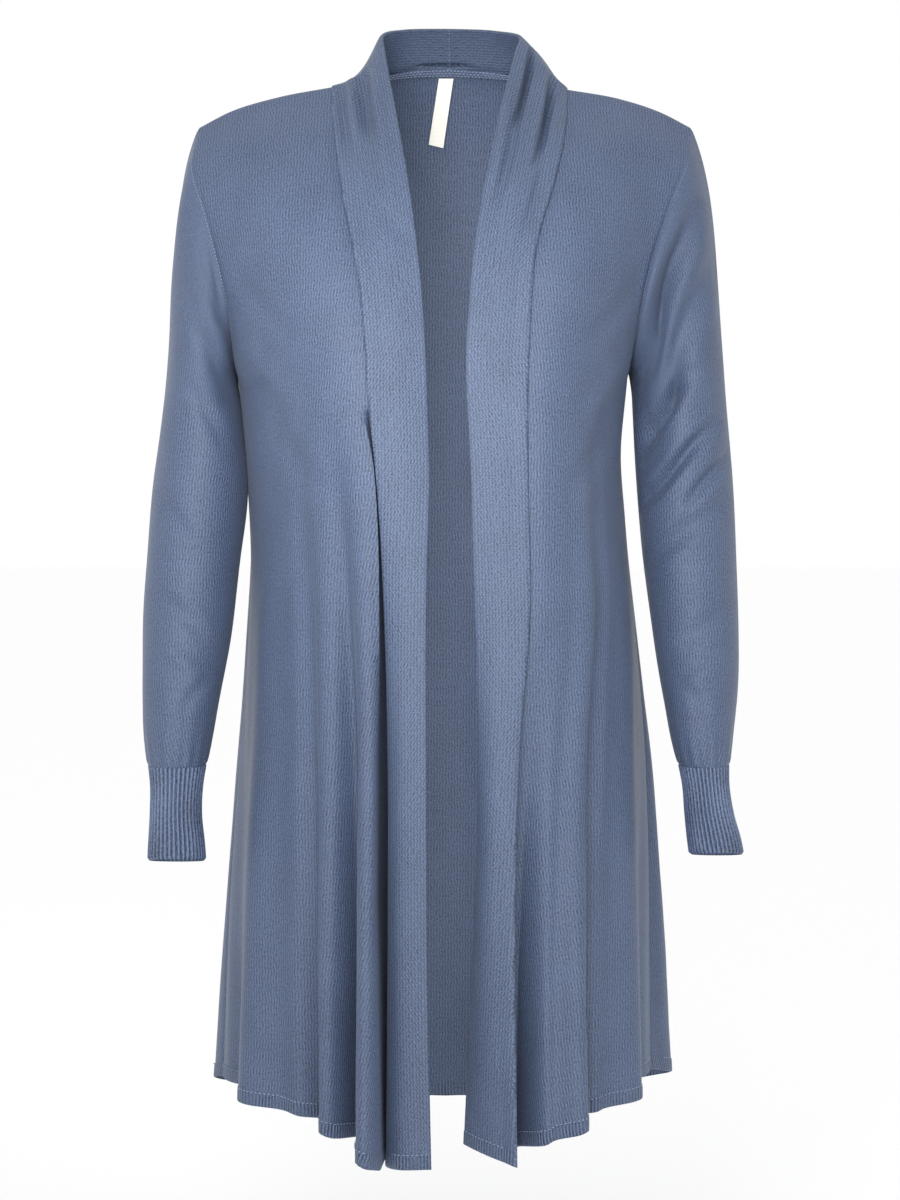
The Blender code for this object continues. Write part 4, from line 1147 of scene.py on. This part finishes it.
def stitch_tree():
    """Geometry Nodes: beads of thread along a path."""
    tree = bpy.data.node_groups.new("stitches_on_a_path", "GeometryNodeTree")
    tree.interface.new_socket("Path", in_out="INPUT", socket_type="NodeSocketGeometry")
    for name in ("Spacing", "Length", "Thickness"):
        tree.interface.new_socket(name, in_out="INPUT", socket_type="NodeSocketFloat")
    tree.interface.new_socket("Stitches", in_out="OUTPUT", socket_type="NodeSocketGeometry")
    given = node(tree, "NodeGroupInput").outputs
    curve = node(tree, "GeometryNodeMeshToCurve", inputs={"Mesh": given["Path"]}).outputs["Curve"]
    spaced = {"Curve": curve, "Length": given["Spacing"]}
    points = node(tree, "GeometryNodeResampleCurve", {"mode": "LENGTH"}, spaced).outputs["Curve"]
    tangent = {"Vector": node(tree, "GeometryNodeInputTangent").outputs[0]}
    turn = node(tree, "FunctionNodeAlignRotationToVector", {"axis": "Z"}, tangent).outputs["Rotation"]
    sizes = {"X": given["Thickness"], "Y": given["Thickness"], "Z": given["Length"]}
    size = node(tree, "ShaderNodeCombineXYZ", inputs=sizes).outputs["Vector"]
    ball = {"Segments": 6, "Rings": 5, "Radius": 0.5}
    bead = node(tree, "GeometryNodeMeshUVSphere", inputs=ball).outputs["Mesh"]
    put = {"Points": points, "Instance": bead, "Rotation": turn, "Scale": size}
    placed = node(tree, "GeometryNodeInstanceOnPoints", inputs=put).outputs["Instances"]
    real = node(tree, "GeometryNodeRealizeInstances", inputs={"Geometry": placed}).outputs["Geometry"]
    finish = node(tree, "GeometryNodeSetMaterial", inputs={"Geometry": real, "Material": thread})
    node(tree, "NodeGroupOutput", inputs={"Stitches": finish.outputs["Geometry"]})
    return tree


STITCHES = stitch_tree()


def sew(name, paths, spacing, length, thickness):
    """Stitches along one or more paths, as one plain mesh."""
    mesh = bpy.data.meshes.new(name + "_path")
    points, edges, first = [], [], 0
    for path in paths:
        points += [tuple(point) for point in np.asarray(path) * MM]
        edges += [(first + k, first + k + 1) for k in range(len(path) - 1)]
        first += len(path)
    mesh.from_pydata(points, edges, [])
    maker = bpy.data.objects.new(name + "_path", mesh)
    bpy.context.collection.objects.link(maker)
    modifier = maker.modifiers.new("stitches", "NODES")
    modifier.node_group = STITCHES
    for item in STITCHES.interface.items_tree:
        if item.in_out == "INPUT" and item.name in ("Spacing", "Length", "Thickness"):
            size = {"Spacing": spacing, "Length": length, "Thickness": thickness}[item.name]
            modifier[item.identifier] = size * MM
    evaluated = maker.evaluated_get(bpy.context.evaluated_depsgraph_get())
    sewn_mesh = bpy.data.meshes.new_from_object(evaluated)
    sewn_mesh.name = name
    sewn = bpy.data.objects.new(name, sewn_mesh)
    bpy.data.objects.remove(maker)
    if not sewn_mesh.materials:
        sewn_mesh.materials.append(thread)
    sewn_mesh.shade_smooth()
    bpy.context.collection.objects.link(sewn)
    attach(sewn, "root")
    return sewn


hem_row = int(np.argmin(np.abs(FROM_HEM - HEM_TALL)))
lift = SEAM_PUFF + HEM_RISE / 2 + STITCH_LIFT
hem_paths = [(back_grid[hem_row] + back_normals[hem_row] * lift)[5:-5]]
for side in ("right", "left"):
    grid = fronts[side]
    normals = normals_of(grid, False, side == "right")
    hem_paths.append((grid[hem_row] + normals[hem_row] * lift)[len(NEAR_BAND) : -3])
    grid, normals = bands[side]
    band_row = len(LEVELS) - 1 - hem_row
    hem_paths.append((grid[band_row] + normals[band_row] * lift)[6:-6])
sew("hem_stitches", hem_paths, 3.6, 2.3, 1.0)

armhole_paths = []
for side in ("right", "left"):
    grid, normals = sleeves[side]
    ring = grid[1] + normals[1] * (SEAM_PUFF * 0.5 + STITCH_LIFT)
    armhole_paths.append(np.concatenate([ring, ring[:1]]))
sew("armhole_stitches", armhole_paths, 2.8, 1.7, 0.6)

# The overlock threads along both edges of the neck seam, and the centre-back seam of the collar.
inside = -(TAPE_KNIT + STITCH_LIFT)
neck_paths = [tape_grid[5:-5, k] + tape_normals[5:-5, k] * inside for k in (1, 3, 5)]
sew("neck_seam_threads", neck_paths, 3.0, 2.1, 1.1)
grid, normals = bands["right"]
sew("collar_seam_stitches", [grid[-1, 4:-4] - normals[-1, 4:-4] * BAND_KNIT], 2.6, 2.0, 0.4)
